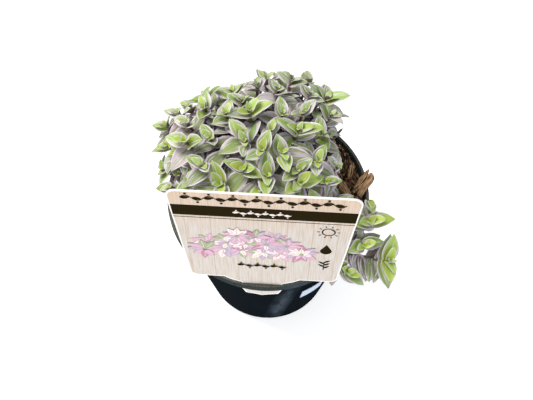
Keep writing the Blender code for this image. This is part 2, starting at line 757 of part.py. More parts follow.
def grow_stems(groups, feet, crowd):
    """Give each shoot a stem that keeps clear of the stems of other sprays."""
    for spray, (group, foot) in enumerate(zip(groups, feet)):
        kept = []
        for shoot in group:
            for bend in stem_bends():
                route = shoot_route(foot, shoot, len(kept), bend)
                fat = stem_tube(route, STEM_RADIUS + GAP, BUD)
                samples = [route[1], route[2], route[3], (route[1] + route[2]) / 2]
                if all(is_clear(p, STEM_RADIUS) for p in samples) and not crowd.crosses(*fat, spray):
                    shoot.route = route
                    break
            if shoot.route:
                crowd.add(*stem_tube(shoot.route, STEM_RADIUS, BUD), spray, len(kept))
                kept.append(shoot)
        group[:] = kept


def leaf_tries():
    """Changes that a leaf tries when it has no room: splay, turn and size."""
    for size in (1.0, 0.86, 0.74):
        for splay in (0, 10, -10, 20, -18, 28):
            for turn in (0, 12, -12, 24, -24):
                yield math.radians(splay), math.radians(turn), size


def stem_place(route, below):
    """Point and direction on a stem, at a distance back from its tip."""
    for near, far in zip(route[-2::-1], route[:0:-1]):
        span = (far - near).length
        if below <= span:
            ahead = (far - near) / span
            return far - ahead * below, ahead
        below -= span
    return near, ahead


def make_blade(shoot, below, splay, heading, size):
    """Leaf blade on a shoot, at a depth under its tip."""
    base, axis = stem_place(shoot.route, below)
    flat = Vector((math.cos(heading), math.sin(heading), 0))
    radial = (flat - axis * flat.dot(axis)).normalized()
    along = axis * math.cos(splay) + radial * math.sin(splay)
    light = axis + Vector((0, 0, LEAF_TO_LIGHT))
    face = (light - along * light.dot(along)).normalized()
    return Blade(base, along, face, LEAF_LENGTH * size, LEAF_WIDTH * size, LEAF_FOLD, LEAF_CURL)


def grow_leaves(groups, crowd, rng):
    """Leaves tier by tier, so that the pairs at the tips find room first."""
    depth = max(len(shoot.tiers) for group in groups for shoot in group)
    for level in range(depth):
        for spray, group in enumerate(groups):
            for number, shoot in enumerate(group):
                if level >= len(shoot.tiers):
                    continue
                tier = shoot.tiers[level]
                for half in (0, 1):
                    heading = shoot.heading + tier.turn + math.pi * half + rng.uniform(-0.15, 0.15)
                    splay = tier.splay + rng.uniform(-0.10, 0.14)
                    size = shoot.size * tier.size * rng.uniform(0.93, 1.07)
                    below = tier.below + LEAF_STEP * half
                    place_leaf(shoot, spray, number, crowd, below, splay, heading, size)


def place_leaf(shoot, spray, number, crowd, below, splay, heading, size):
    """Put one leaf on its shoot, in the first try that has room for it."""
    for more_splay, more_turn, smaller in leaf_tries():
        blade = make_blade(shoot, below, splay + more_splay, heading + more_turn, size * smaller)
        fat = blade_lens(blade, GAP)
        probes = [blade.point(share, side) for share in (0.3, 0.5, 0.75, 1.0) for side in (-1, 0, 1)]
        if not all(is_clear(p, LEAF_THICK) for p in probes):
            continue
        if not crowd.crosses(fat, BLADE_FACES, spray, number):
            shoot.blades.append(blade)
            crowd.add(blade_lens(blade), BLADE_FACES, spray, number)
            return


def fuse(name, pieces, material):
    """Join a spray's stems and leaves in one body."""
    body = add_object(name, *pieces[0], material)
    helpers = bpy.data.collections.new(name + "_pieces")
    bpy.context.scene.collection.children.link(helpers)
    for index, (verts, faces) in enumerate(pieces[1:]):
        helper = add_object(f"{name}_piece_{index}", verts, faces)
        bpy.context.collection.objects.unlink(helper)
        helpers.objects.link(helper)
    modifier = body.modifiers.new("fuse", "BOOLEAN")
    modifier.operation = "UNION"
    modifier.operand_type = "COLLECTION"
    modifier.collection = helpers
    modifier.solver = "MANIFOLD"
    scene_state = bpy.context.evaluated_depsgraph_get()
    fused = bpy.data.meshes.new_from_object(body.evaluated_get(scene_state))
    body.modifiers.clear()
    body.data = keep_largest(fused)
    for helper in list(helpers.objects):
        bpy.data.objects.remove(helper, do_unlink=True)
    bpy.data.collections.remove(helpers)
    return body


def keep_largest(mesh):
    """Drop loose scraps and sealed hollows, which leaves the largest shell."""
    work = bmesh.new()
    work.from_mesh(mesh)
    bmesh.ops.triangulate(work, faces=work.faces)
    work.verts.ensure_lookup_table()
    seen, shells = set(), []
    for start in work.verts:
        if start in seen:
            continue
        shell, stack = [], [start]
        seen.add(start)
        while stack:
            vert = stack.pop()
            shell.append(vert)
            for edge in vert.link_edges:
                other = edge.other_vert(vert)
                if other not in seen:
                    seen.add(other)
                    stack.append(other)
        shells.append(shell)
    shells.sort(key=len)
    loose = [vert for shell in shells[:-1] for vert in shell]
    bmesh.ops.delete(work, geom=loose, context="VERTS")
    work.to_mesh(mesh)
    work.free()
    return mesh


def trailing_shoots():
    """The stems that come over the rim, a spray each."""
    trails = []
    for _, route, heading, size in TRAILING_STEMS:
        points = [Vector(point) / 1000 for point in route]
        axis = (points[-1] - points[-2]).normalized()
        trails.append([Shoot(points[-1], axis, math.radians(heading), size, points, tiers=TRAILING_TIERS)])
    return trails


def crown_piece(foot):
    """Short stock that a spray's stems rise from, sunk in the mix."""
    return prism(foot, CROWN_RADIUS, CROWN_LOW, crown_top(foot), CROWN_SIDES)


def make_plant():
    """All sprays and trailing stems, and the feet that the mix needs holes for."""
    rng = random.Random(SEED)
    crowd = Crowd()
    sprays = gather_sprays(place_shoots(rng))
    trails = trailing_shoots()
    groups = trails + sprays
    feet = [group[0].route[0].to_2d() for group in trails]
    for group in sprays:
        feet.append(foot_of(group, feet))
    for spray, foot in enumerate(feet):
        crowd.add(*crown_piece(foot), spray, None)
    for spray, group in enumerate(trails):
        crowd.add(*stem_tube(group[0].route, STEM_RADIUS, BUD), spray, 0)
    grow_stems([[] for _ in trails] + sprays, feet, crowd)
    grow_leaves(groups, crowd, rng)
    leaf_finish = finish("striped leaves", (0.27, 0.40, 0.20), 0.5)
    names = [name for name, _, _, _ in TRAILING_STEMS]
    names += [f"leafy_spray_{number + 1:02d}" for number in range(SPRAYS)]
    for name, group, foot in zip(names, groups, feet):
        pieces = [crown_piece(foot)]
        for shoot in group:
            pieces.append(stem_tube(shoot.route, STEM_RADIUS, BUD))
            pieces += [(blade_lens(blade), BLADE_FACES) for blade in shoot.blades]
        fuse(name, pieces, leaf_finish)
    return feet


def main():
    """Model every piece."""
    clear_object_list()
    pot = make_pot()
    mix = make_mix(make_plant())
    make_label()
    make_sticker()
    evaluated = bpy.context.evaluated_depsgraph_get()
    grounds = [BVHTree.FromObject(thing, evaluated) for thing in (pot, mix)]
    for chip in BARK_CHIPS:
        make_chip(*chip, grounds)


main()
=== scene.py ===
"""Looks of a small potted turtle vine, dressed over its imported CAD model.

Sizes are in metres with +Z up, as in the CAD model. The vine grows here by the rule that the model
grew by, with the same random draws, so that each fine leaf lies where its plain one does. Then more
leaves fill in lower on the same stems.
"""
import logging
from collections.abc import Callable, Iterator, Sequence
from contextlib import contextmanager
from dataclasses import dataclass, field
from enum import Enum, IntEnum
from itertools import product
from math import acos, copysign, cos, exp, hypot, pi, radians, sin, sqrt, tan
from random import Random

import bmesh
import bpy
import numpy as np
from mathutils import Matrix, Vector, noise
from mathutils.bvhtree import BVHTree


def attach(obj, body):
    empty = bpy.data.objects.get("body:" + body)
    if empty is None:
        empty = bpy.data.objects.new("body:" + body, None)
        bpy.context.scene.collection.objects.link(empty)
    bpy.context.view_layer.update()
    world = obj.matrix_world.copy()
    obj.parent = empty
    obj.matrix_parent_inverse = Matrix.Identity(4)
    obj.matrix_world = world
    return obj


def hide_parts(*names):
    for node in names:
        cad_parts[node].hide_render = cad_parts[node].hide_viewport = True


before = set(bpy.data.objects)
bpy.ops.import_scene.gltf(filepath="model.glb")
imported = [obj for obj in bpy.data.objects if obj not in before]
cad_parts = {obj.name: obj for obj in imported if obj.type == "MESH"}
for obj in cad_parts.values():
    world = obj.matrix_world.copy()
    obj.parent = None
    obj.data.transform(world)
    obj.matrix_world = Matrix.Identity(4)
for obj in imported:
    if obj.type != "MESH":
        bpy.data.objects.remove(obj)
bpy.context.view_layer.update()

Material = bpy.types.Material
Thing = bpy.types.Object
Socket = bpy.types.NodeSocket
Feed = Socket | float | str | tuple | dict
Points = Sequence[tuple[float, float]]
LOG = logging.getLogger("turtle_vine")
BODY = "root"
GAP = 0.0003
MERGE = 0.000001


class Skin(IntEnum):
    """Material slots of a leafy piece."""

    UPPER = 0
    UNDER = 1
    STEM = 2


class Ink(IntEnum):
    """Material slots of the label's printed shapes."""

    DARK = 0
    PINK = 1
    LILAC = 2
    GREEN = 3
    CREAM = 4
    ROSE = 5


class Icon(Enum):
    """Plain care icons on the label."""

    SUN = "sun"
    DROP = "drop"
    SPRIG = "sprig"


# Small tools


def linear(code: str) -> tuple[float, float, float, float]:
    """Turn an sRGB hex colour, such as "#86A860", to linear red, green, blue and full alpha."""
    channels = [int(code[k : k + 2], 16) / 255 for k in (1, 3, 5)]
    return (*(c / 12.92 if c <= 0.04045 else ((c + 0.055) / 1.055) ** 2.4 for c in channels), 1.0)


def around(angle: float, radius: float = 1.0) -> tuple[float, float]:
    """Place of a point on a circle round the origin."""
    return radius * cos(angle), radius * sin(angle)


def link(name: str, data: bpy.types.ID) -> Thing:
    """Make an object of a mesh, a camera or a light, and put it in the scene.

    Args:
        name: Name of the object.
        data: What it shows.

    Returns:
        The new object.
    """
    thing = bpy.data.objects.new(name, data)
    bpy.context.scene.collection.objects.link(thing)
    return thing


def begin(primitive: Callable, name: str, **sizes: object) -> Thing:
    """Add a primitive as the start of a piece, with all else deselected.

    Args:
        primitive: Blender's operator that adds it.
        name: Name of the piece.
        sizes: Sizes and place that the operator is given.

    Returns:
        The new object.
    """
    bpy.ops.object.select_all(action="DESELECT")
    primitive(**sizes)
    thing = bpy.context.active_object
    thing.name = thing.data.name = name
    return thing


def pick(thing: Thing) -> None:
    """Make an object the only selected one, and the active one.

    Args:
        thing: Object to pick.
    """
    bpy.ops.object.select_all(action="DESELECT")
    thing.select_set(True)
    bpy.context.view_layer.objects.active = thing


@contextmanager
def editing(thing: Thing) -> Iterator[None]:
    """Work on an object in edit mode, with all of it selected.

    Args:
        thing: Object whose mesh is edited.

    Yields:
        Nothing, once edit mode is on.
    """
    pick(thing)
    bpy.ops.object.mode_set(mode="EDIT")
    bpy.ops.mesh.select_all(action="SELECT")
    yield
    bpy.ops.object.mode_set(mode="OBJECT")


def apply_modifiers(thing: Thing) -> None:
    """Apply all of an object's modifiers, first to last.

    Args:
        thing: Object that has them.
    """
    pick(thing)
    for modifier in list(thing.modifiers):
        bpy.ops.object.modifier_apply(modifier=modifier.name)


def thicken(sheet: Thing, thickness: float, offset: float, back: int = 0) -> None:
    """Give an open sheet its thickness.

    Args:
        sheet: Sheet to thicken.
        thickness: How thick it gets.
        offset: 0 to thicken it both ways, 1 to thicken it outwards alone.
        back: Steps from the front's material slot to that of the back and the edge.
    """
    wall = sheet.modifiers.new("thickness", "SOLIDIFY")
    wall.thickness, wall.offset = thickness, offset
    wall.material_offset = wall.material_offset_rim = back
    apply_modifiers(sheet)


def settle(thing: Thing) -> None:
    """Put an object's place, turn and scale in its mesh."""
    pick(thing)
    bpy.ops.object.transform_apply(location=True, rotation=True, scale=True)


def smooth(thing: Thing, degrees: float) -> None:
    """Shade an object smooth, but for edges sharper than an angle."""
    pick(thing)
    bpy.ops.object.shade_smooth_by_angle(angle=radians(degrees))


def cut(target: Thing, cutter: Thing) -> None:
    """Cut one shape out of another and remove the cutter.

    Args:
        target: Piece that is cut.
        cutter: Shape that is taken out of it.
    """
    settle(cutter)
    modifier = target.modifiers.new("cut", "BOOLEAN")
    modifier.operation = "DIFFERENCE"
    modifier.solver = "EXACT"
    modifier.object = cutter
    apply_modifiers(target)
    bpy.data.objects.remove(cutter, do_unlink=True)


def turned(name: str, outline: Points, steps: int) -> Thing:
    """Turn an outline about Z.

    Args:
        name: Name of the new piece.
        outline: Radius and height of each point, from the axis back to the axis.
        steps: Steps in the full turn.

    Returns:
        The closed solid, its faces outwards.
    """
    ring = bpy.ops.mesh.primitive_circle_add
    solid = begin(ring, name, vertices=len(outline), radius=0.05, fill_type="NOTHING")
    for vertex, (radius, height) in zip(solid.data.vertices, outline):
        vertex.co = (radius, 0.0, height)
    with editing(solid):
        work = bmesh.from_edit_mesh(solid.data)
        work.verts.ensure_lookup_table()
        work.edges.remove(work.edges.get((work.verts[0], work.verts[len(outline) - 1])))
        bmesh.update_edit_mesh(solid.data)
        bpy.ops.mesh.select_all(action="SELECT")
        bpy.ops.mesh.spin(steps=steps, angle=2 * pi, center=(0, 0, 0), axis=(0, 0, 1))
        bpy.ops.mesh.select_all(action="SELECT")
        bpy.ops.mesh.remove_doubles(threshold=MERGE)
        bpy.ops.mesh.normals_make_consistent(inside=False)
    return solid


def piece_from(name: str, verts: Sequence, faces: Sequence) -> Thing:
    """Make an object from vertices and faces.

    Args:
        name: Name of the piece.
        verts: Its vertices.
        faces: Its faces, each a run of vertex numbers.

    Returns:
        The new object.
    """
    mesh = bpy.data.meshes.new(name)
    mesh.from_pydata([tuple(v) for v in verts], [], faces)
    return link(name, mesh)


def map_points(mesh: bpy.types.Mesh, name: str, spots: Points) -> None:
    """Give a mesh a UV map that has one value at each vertex.

    Args:
        mesh: Mesh that gets the map.
        name: Name of the map.
        spots: Value of each vertex.
    """
    layer = mesh.uv_layers.new(name=name)
    corners = np.zeros(len(mesh.loops), dtype=np.int32)
    mesh.loops.foreach_get("vertex_index", corners)
    layer.data.foreach_set("uv", np.asarray(spots, dtype=np.float32)[corners].ravel())


def tint_points(mesh: bpy.types.Mesh, tints: Sequence[tuple[float, float, float, float]]) -> None:
    """Give a mesh its tint, a colour at each vertex that its materials read."""
    layer = mesh.color_attributes.new("tint", "FLOAT_COLOR", "POINT")
    layer.data.foreach_set("color", np.asarray(tints, dtype=np.float32).ravel())


def dress(thing: Thing, *materials: Material) -> None:
    """Give an object its materials, in the order of its slots.

    Args:
        thing: Object to dress.
        materials: What it wears.
    """
    thing.data.materials.clear()
    for material in materials:
        thing.data.materials.append(material)


def place(thing: Thing, slot: str, *nodes: str) -> None:
    """Let a piece ride on the part, and hide the CAD nodes that it stands for.

    Args:
        thing: Finished piece.
        slot: Not used.
        nodes: CAD nodes that the piece replaces.
    """
    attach(thing, BODY)
    if nodes:
        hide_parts(*nodes)
    LOG.info("%s: %d faces", thing.name, len(thing.data.polygons))


# Finishes: a tuple of two or four numbers is a ramp, with its start, its end and what it gives there

TIMES = {"operation": "MULTIPLY"}
TIMES_PLUS = {"operation": "MULTIPLY_ADD"}
SIZE = {"operation": "ABSOLUTE"}


class Paint:
    """A material in the making: its node tree and its shader."""

    def __init__(self, name: str, roughness: float, mirror: float = 0.5, colour: str = "#808080") -> None:
        """Start a material.

        Args:
            name: Name of the real material.
            roughness: Roughness of the whole surface.
            mirror: Strength of its mirror-like reflection.
            colour: Its sRGB hex colour where no pattern gives one.
        """
        self.material = bpy.data.materials.new(name)
        self.material.use_nodes = True
        self.tree = self.material.node_tree
        self.shader = self.tree.nodes["Principled BSDF"]
        uniform = {"Base Color": linear(colour), "Roughness": roughness, "Specular IOR Level": mirror}
        for key, value in uniform.items():
            self.shader.inputs[key].default_value = value

    def add(self, kind: str, *feeds: Feed, **settings: object) -> bpy.types.bpy_prop_collection:
        """Add a node with its settings, and set or link its inputs.

        Args:
            kind: Blender's name of the node type, after "ShaderNode". A Mix node mixes colours.
            feeds: A number, hex colour or socket for each input in turn, or a dict of them by input.
            settings: Properties of the node.

        Returns:
            The node's outputs.
        """
        made = self.tree.nodes.new("ShaderNode" + kind)
        if kind == "Mix":
            made.data_type = "RGBA"
        for name, value in settings.items():
            setattr(made, name, value)
        by_input = feeds[0] if feeds and isinstance(feeds[0], dict) else dict(enumerate(feeds))
        for key, feed in by_input.items():
            if isinstance(feed, Socket):
                self.tree.links.new(feed, made.inputs[key])
            else:
                made.inputs[key].default_value = linear(feed) if isinstance(feed, str) else feed
        return made.outputs

    def finish(self, colour: Socket, height: Socket | None = None, bumps: tuple = (0, 0)) -> Material:
        """Feed the shader its colour and its bumps.

        Args:
            colour: Colour of the surface.
            height: Height of its bumps, if it has any.
            bumps: How strongly they show, and how deep they are in metres.

        Returns:
            The finished material.
        """
        self.tree.links.new(colour, self.shader.inputs["Base Color"])
        if height:
            normal = self.add("Bump", {"Strength": bumps[0], "Distance": bumps[1], "Height": height})[0]
            self.tree.links.new(normal, self.shader.inputs["Normal"])
        return self.material


@dataclass(frozen=True)
class LeafUpper:
    """Living leaf skin: it gives a soft waxy sheen, pale lilac streaks and a pale margin."""

    heart: str = "#ADC41A"
    young: str = "#A2BC50"
    green: str = "#88A453"
    old: str = "#7B8064"
    # The spent colour darkens the oldest leaves, which sit deepest in the canopy: partly withering, partly
    # painted shade in its crevices.
    spent_and_shade: str = "#35281F"
    streak: str = "#C9C1C7"
    margin: str = "#DDD5DE"
    mauve: str = "#B39CA9"
    edge: str = "#A48FA2"
    roughness: float = 0.45
    mirror: float = 0.35
    streaks_across: float = 10.0
    veins_across: float = 28.0
    apart: float = 40.0
    to_margin: tuple = (4.0, 0.36)
    by_stripe: float = 0.11
    by_age: float = 0.06
    paling: tuple = (0.60, 0.68, 0.0, 0.9)
    streaks_come: tuple = (0.0, 0.35, 0.45, 1.0)
    # This ramp and hem_goes fade the pale streaks and margin on the oldest, deepest leaves, along with their
    # painted shade.
    streaks_go: tuple = (0.78, 1.0, 1.0, 0.15)
    hem: tuple = (0.84, 0.90, 0.0, 0.85)
    hem_goes: tuple = (0.8, 1.0, 1.0, 0.3)
    greening: tuple = (0.02, 0.34)
    ageing: tuple = (0.35, 0.88)
    # Ramp of age into the spent colour: withering and painted shade on the deepest leaves.
    withering_and_shade: tuple = (0.78, 1.0)
    heart_along: tuple = (0.55, 0.05, 0.0, 0.85)
    heart_age: tuple = (0.5, 0.1)
    leaf_value: tuple = (0.0, 1.0, 0.84, 1.12)
    vein_value: tuple = (0.35, 0.6, 0.84, 1.08)
    hues: tuple = (0.0, 1.0, 0.488, 0.512)
    flush_tone: tuple = (0.65, 0.25)
    flush_age: tuple = (0.3, 0.7)
    edging: tuple = (0.95, 0.99, 0.0, 0.5)
    bumps: tuple = (0.35, 0.0003)

    def material(self) -> Material:
        """Build the leaf's upper skin from its blade map and its tint.

        Returns:
            The finished material.
        """
        paint = Paint("turtle_vine_leaf_upper", self.roughness, self.mirror)
        add = paint.add
        across, along, _ = add("SeparateXYZ", add("UVMap", uv_map="blade")[0])
        age, tone, stripe = add("SeparateColor", add("Attribute", attribute_name="tint")["Color"])
        centred = add("Math", across, 2.0, -1.0, **TIMES_PLUS)[0]
        side = add("Math", centred, **SIZE)[0]
        lane = add("Math", across, self.streaks_across, **TIMES)[0]
        own = add("Math", tone, self.apart, **TIMES)[0]
        lanes = add("CombineXYZ", lane, along, own)[0]
        veins = add("TexNoise", {"Vector": lanes, "Scale": 1.0, "Detail": 3.0})[0]
        near_margin = add("Math", side, self.to_margin[0], operation="POWER")[0]
        hemmed = add("Math", near_margin, self.to_margin[1], veins, **TIMES_PLUS)[0]
        older = add("Math", age, self.by_age, hemmed, **TIMES_PLUS)[0]
        striped = add("Math", stripe, self.by_stripe, older, **TIMES_PLUS)[0]
        pale = add("MapRange", striped, *self.paling)[0]
        come, go = add("MapRange", age, *self.streaks_come)[0], add("MapRange", age, *self.streaks_go)[0]
        grown = add("Math", come, go, **TIMES)[0]
        streaks = add("Math", pale, grown, **TIMES)[0]
        body = self.young
        # The last turn, to the spent colour, is partly withering and partly painted shade on the deepest
        # leaves.
        turns = (self.greening, self.green), (self.ageing, self.old), (self.withering_and_shade, self.spent_and_shade)
        for span, tone_then in turns:
            body = add("Mix", {0: add("MapRange", age, *span)[0], 6: body, 7: tone_then})[2]
        inner, fresh = add("MapRange", along, *self.heart_along)[0], add("MapRange", age, *self.heart_age)[0]
        glow = add("Math", inner, fresh, **TIMES)[0]
        body = add("Mix", {0: glow, 6: body, 7: self.heart})[2]
        fine_lane = add("Math", across, self.veins_across, **TIMES)[0]
        fine_lanes = add("CombineXYZ", fine_lane, along, tone)[0]
        fine = add("TexNoise", {"Vector": fine_lanes, "Scale": 1.0, "Detail": 2.0})[0]
        shades = add("MapRange", tone, *self.leaf_value)[0], add("MapRange", fine, *self.vein_value)[0]
        value = add("Math", *shades, **TIMES)[0]
        hue = add("MapRange", stripe, *self.hues)[0]
        varied = add("HueSaturation", {"Hue": hue, "Value": value, "Color": body})[0]
        flushes = add("MapRange", tone, *self.flush_tone)[0], add("MapRange", age, *self.flush_age)[0]
        flushed = add("Math", *flushes, **TIMES)[0]
        lilac = add("Mix", {0: flushed, 6: self.streak, 7: self.mauve})[2]
        lined = add("Mix", {0: streaks, 6: varied, 7: lilac})[2]
        hems = add("MapRange", side, *self.hem)[0], add("MapRange", age, *self.hem_goes)[0]
        hem = add("Math", *hems, **TIMES)[0]
        rimmed = add("Mix", {0: hem, 6: lined, 7: self.margin})[2]
        edging = add("MapRange", side, *self.edging)[0]
        edged = add("Mix", {0: edging, 6: rimmed, 7: self.edge})[2]
        return paint.finish(edged, veins, self.bumps)


@dataclass(frozen=True)
class LeafUnder:
    """Living leaf underside: it gives a dull plum and grey-green, streaked along the blade."""

    plum: str = "#7F6771"
    green: str = "#777C62"
    pale: str = "#B8A8B1"
    roughness: float = 0.55
    streaks_across: float = 8.0
    apart: float = 40.0
    streaks: tuple = (0.38, 0.62)
    paling: tuple = (0.70, 0.95, 0.0, 0.8)

    def material(self) -> Material:
        """Build the leaf's underside from its blade map and its tint.

        Returns:
            The finished material.
        """
        paint = Paint("turtle_vine_leaf_underside", self.roughness)
        add = paint.add
        across, along, _ = add("SeparateXYZ", add("UVMap", uv_map="blade")[0])
        tone = add("SeparateColor", add("Attribute", attribute_name="tint")["Color"])[1]
        own = add("Math", tone, self.apart, **TIMES)[0]
        lane = add("Math", across, self.streaks_across, **TIMES)[0]
        lanes = add("CombineXYZ", lane, along, own)[0]
        veins = add("TexNoise", {"Vector": lanes, "Scale": 1.0, "Detail": 2.0})[0]
        streaks = add("MapRange", veins, *self.streaks)[0]
        mixed = add("Mix", {0: streaks, 6: self.plum, 7: self.green})[2]
        centred = add("Math", across, 2.0, -1.0, **TIMES_PLUS)[0]
        paling = add("MapRange", add("Math", centred, **SIZE)[0], *self.paling)[0]
        return paint.finish(add("Mix", {0: paling, 6: mixed, 7: self.pale})[2])


@dataclass(frozen=True)
class StemSkin:
    """Succulent stem: it gives a thin plum-brown line, greener in patches."""

    plum: str = "#64434C"
    green: str = "#6C7350"
    roughness: float = 0.5
    patch_mm: float = 6.0
    patches: tuple = (0.45, 0.65)

    def material(self) -> Material:
        """Build the stem's skin with patches of a real size.

        Returns:
            The finished material.
        """
        paint = Paint("turtle_vine_stem", self.roughness)
        spot = paint.add("TexCoord")["Object"]
        noisy = paint.add("TexNoise", {"Vector": spot, "Scale": 1000 / self.patch_mm, "Detail": 2.0})[0]
        patches = paint.add("MapRange", noisy, *self.patches)[0]
        return paint.finish(paint.add("Mix", {0: patches, 6: self.plum, 7: self.green})[2])


@dataclass(frozen=True)
class MouldedPlastic:
    """Black polypropylene, injection moulded: it gives a near-black wall with faint flow marks and dust.

    The rim band has scuffs and a painted sheen; its upward ledge has settled dust and a painted highlight. A
    streak at the right front has more gloss and a painted reflection.
    """

    black: str = "#0A1116"
    dust: str = "#262C30"
    # Lighter grey of the rim band: real scuffs, and an even painted sheen.
    scuffed_and_sheen: str = "#3D4443"
    # Pale grey of the rim's upward faces: settled dust and a painted highlight.
    dust_and_highlight: str = "#6B6B62"
    # Bluish tint of the painted reflection in the glossy streak at the right front.
    reflection_tint: str = "#34424F"
    roughness: float = 0.25
    gloss: float = 0.010
    rubbed_gloss: float = 0.1
    coat_roughness: tuple = (0.3, 0.7, 0.17, 0.33)
    flow_mm: float = 9.0
    flow_stretch: tuple = (1.0, 1.0, 0.2)
    speck_mm: float = 0.8
    dusting: tuple = (0.60, 0.75, 0.0, 0.35)
    rim_from: tuple = (0.107, 0.1095)
    scuffs_and_sheen: tuple = (0.35, 0.6, 0.35, 0.95)
    ledge: tuple = (0.25, 0.9)
    streak_lean: float = 2.1
    streak_foot: float = 0.13
    streak_width: tuple = (0.0, 0.17, 1.0, 0.0)
    front: tuple = (0.0, -0.01)
    patches: tuple = (0.40, 0.62, 0.1, 1.0)
    reflection_share: float = 0.7
    bumps: tuple = (0.12, 0.0004)

    def material(self) -> Material:
        """Build the pot's plastic: dust, flow marks, the rim's scuffs with painted sheen and highlight, and
        the glossy streak with its painted reflection.

        Returns:
            The finished material.
        """
        paint = Paint("moulded_black_polypropylene", self.roughness, 0.0)
        add = paint.add
        spot = add("TexCoord")["Object"]
        x, y, z = add("SeparateXYZ", spot)
        drawn = add("Mapping", {0: spot, 3: self.flow_stretch})[0]
        flow = add("TexNoise", {"Vector": drawn, "Scale": 1000 / self.flow_mm, "Detail": 3.0})[0]
        specks = add("TexNoise", {"Vector": spot, "Scale": 1000 / self.speck_mm, "Detail": 3.0})[0]
        dusting = add("MapRange", specks, *self.dusting)[0]
        dusty = add("Mix", {0: dusting, 6: self.black, 7: self.dust})[2]
        # The rim band is mixed towards a lighter grey: its specks are real scuffs, and its even lift is a
        # painted sheen.
        scuffs_and_sheen = add("MapRange", z, *self.rim_from)[0], add("MapRange", specks, *self.scuffs_and_sheen)[0]
        rim = add("Math", *scuffs_and_sheen, **TIMES)[0]
        worn = add("Mix", {0: rim, 6: dusty, 7: self.scuffed_and_sheen})[2]
        # Upward faces of the rim are lighter: settled dust, and a painted highlight that lightens the rim's
        # top against the shade of the leaves over it.
        normal = add("SeparateXYZ", add("NewGeometry")["Normal"])
        upward = add("MapRange", normal[2], *self.ledge)[0]
        lying = add("Math", upward, rim, **TIMES)[0]
        ledge = add("Mix", {0: lying, 6: worn, 7: self.dust_and_highlight})[2]
        # The streak at the right front: its coat gloss is real, and the bluish tint mixed into its colour is
        # a painted reflection.
        ahead = add("Math", y, -1.0, **TIMES)[0]
        around = add("Math", x, ahead, operation="DIVIDE")[0]
        line = add("Math", z, self.streak_lean, self.streak_foot, **TIMES_PLUS)[0]
        off = add("Math", add("Math", around, line, operation="SUBTRACT")[0], **SIZE)[0]
        near, front = add("MapRange", off, *self.streak_width)[0], add("MapRange", y, *self.front)[0]
        streak = add("Math", near, front, **TIMES)[0]
        patchy = add("Math", streak, add("MapRange", flow, *self.patches)[0], **TIMES)[0]
        reflection_share = add("Math", patchy, self.reflection_share, **TIMES)[0]
        with_reflection = add("Mix", {0: reflection_share, 6: ledge, 7: self.reflection_tint})[2]
        glossy = add("Math", patchy, self.rubbed_gloss, self.gloss, **TIMES_PLUS)[0]
        paint.tree.links.new(glossy, paint.shader.inputs["Coat Weight"])
        uneven = add("MapRange", flow, *self.coat_roughness)[0]
        paint.tree.links.new(uneven, paint.shader.inputs["Coat Roughness"])
        return paint.finish(with_reflection, flow, self.bumps)


@dataclass(frozen=True)
class PeatMix:
    """Peat and composted bark: it gives a dark, matt, crumbly ground with paler fibres."""

    dark: str = "#241A14"
    brown: str = "#55402F"
    fibre: str = "#8C7560"
    roughness: float = 0.95
    mirror: float = 0.2
    crumb_mm: float = 2.2
    crumbs: tuple = (0.42, 0.62)
    fibre_mm: float = 1000 / 900
    fibre_stretch: tuple = (1.0, 0.16, 1.0)
    fibre_turn: tuple = (0.0, 0.0, 0.6)
    fibres: tuple = (0.62, 0.68, 0.0, 0.8)
    bumps: tuple = (0.9, 0.001)

    def material(self) -> Material:
        """Build the mix's crumbs and fibres.

        Returns:
            The finished material.
        """
        paint = Paint("peat_and_bark_mix", self.roughness, self.mirror)
        add = paint.add
        spot = add("TexCoord")["Object"]
        crumbs = add("TexNoise", {"Vector": spot, "Scale": 1000 / self.crumb_mm, "Detail": 5.0})[0]
        browned = add("MapRange", crumbs, *self.crumbs)[0]
        mixed = add("Mix", {0: browned, 6: self.dark, 7: self.brown})[2]
        drawn = add("Mapping", {0: spot, 2: self.fibre_turn, 3: self.fibre_stretch})[0]
        fibres = add("TexNoise", {"Vector": drawn, "Scale": 1000 / self.fibre_mm, "Detail": 2.0})[0]
        shown = add("MapRange", fibres, *self.fibres)[0]
        strewn = add("Mix", {0: shown, 6: mixed, 7: self.fibre})[2]
        return paint.finish(strewn, crumbs, self.bumps)


@dataclass(frozen=True)
class BarkFinish:
    """Split pine bark: it gives dry fibres, tan on the split and dark brown in the grooves."""

    tan: str = "#DDB78A"
    brown: str = "#744B2B"
    groove: str = "#170C07"
    roughness: float = 0.9
    mirror: float = 0.2
    fibres_per_metre: tuple = (140.0, 1100.0, 1.0)
    browning: tuple = (0.38, 0.62)
    grooves: tuple = (0.48, 0.38, 0.0, 0.95)
    bumps: tuple = (0.8, 0.0006)

    def material(self) -> Material:
        """Build the bark's fibres along each chip's grain map.

        Returns:
            The finished material.
        """
        paint = Paint("split_pine_bark", self.roughness, self.mirror)
        add = paint.add
        drawn = add("Mapping", {0: add("UVMap", uv_map="grain")[0], 3: self.fibres_per_metre})[0]
        fibres = add("TexNoise", {"Vector": drawn, "Scale": 1.0, "Detail": 4.0})[0]
        browned = add("MapRange", fibres, *self.browning)[0]
        split = add("Mix", {0: browned, 6: self.brown, 7: self.tan})[2]
        dark = add("SeparateColor", add("Attribute", attribute_name="tint")["Color"])[0]
        older = add("Mix", {0: dark, 6: split, 7: self.groove})[2]
        grooves = add("MapRange", fibres, *self.grooves)[0]
        grooved = add("Mix", {0: grooves, 6: older, 7: self.groove})[2]
        return paint.finish(grooved, fibres, self.bumps)


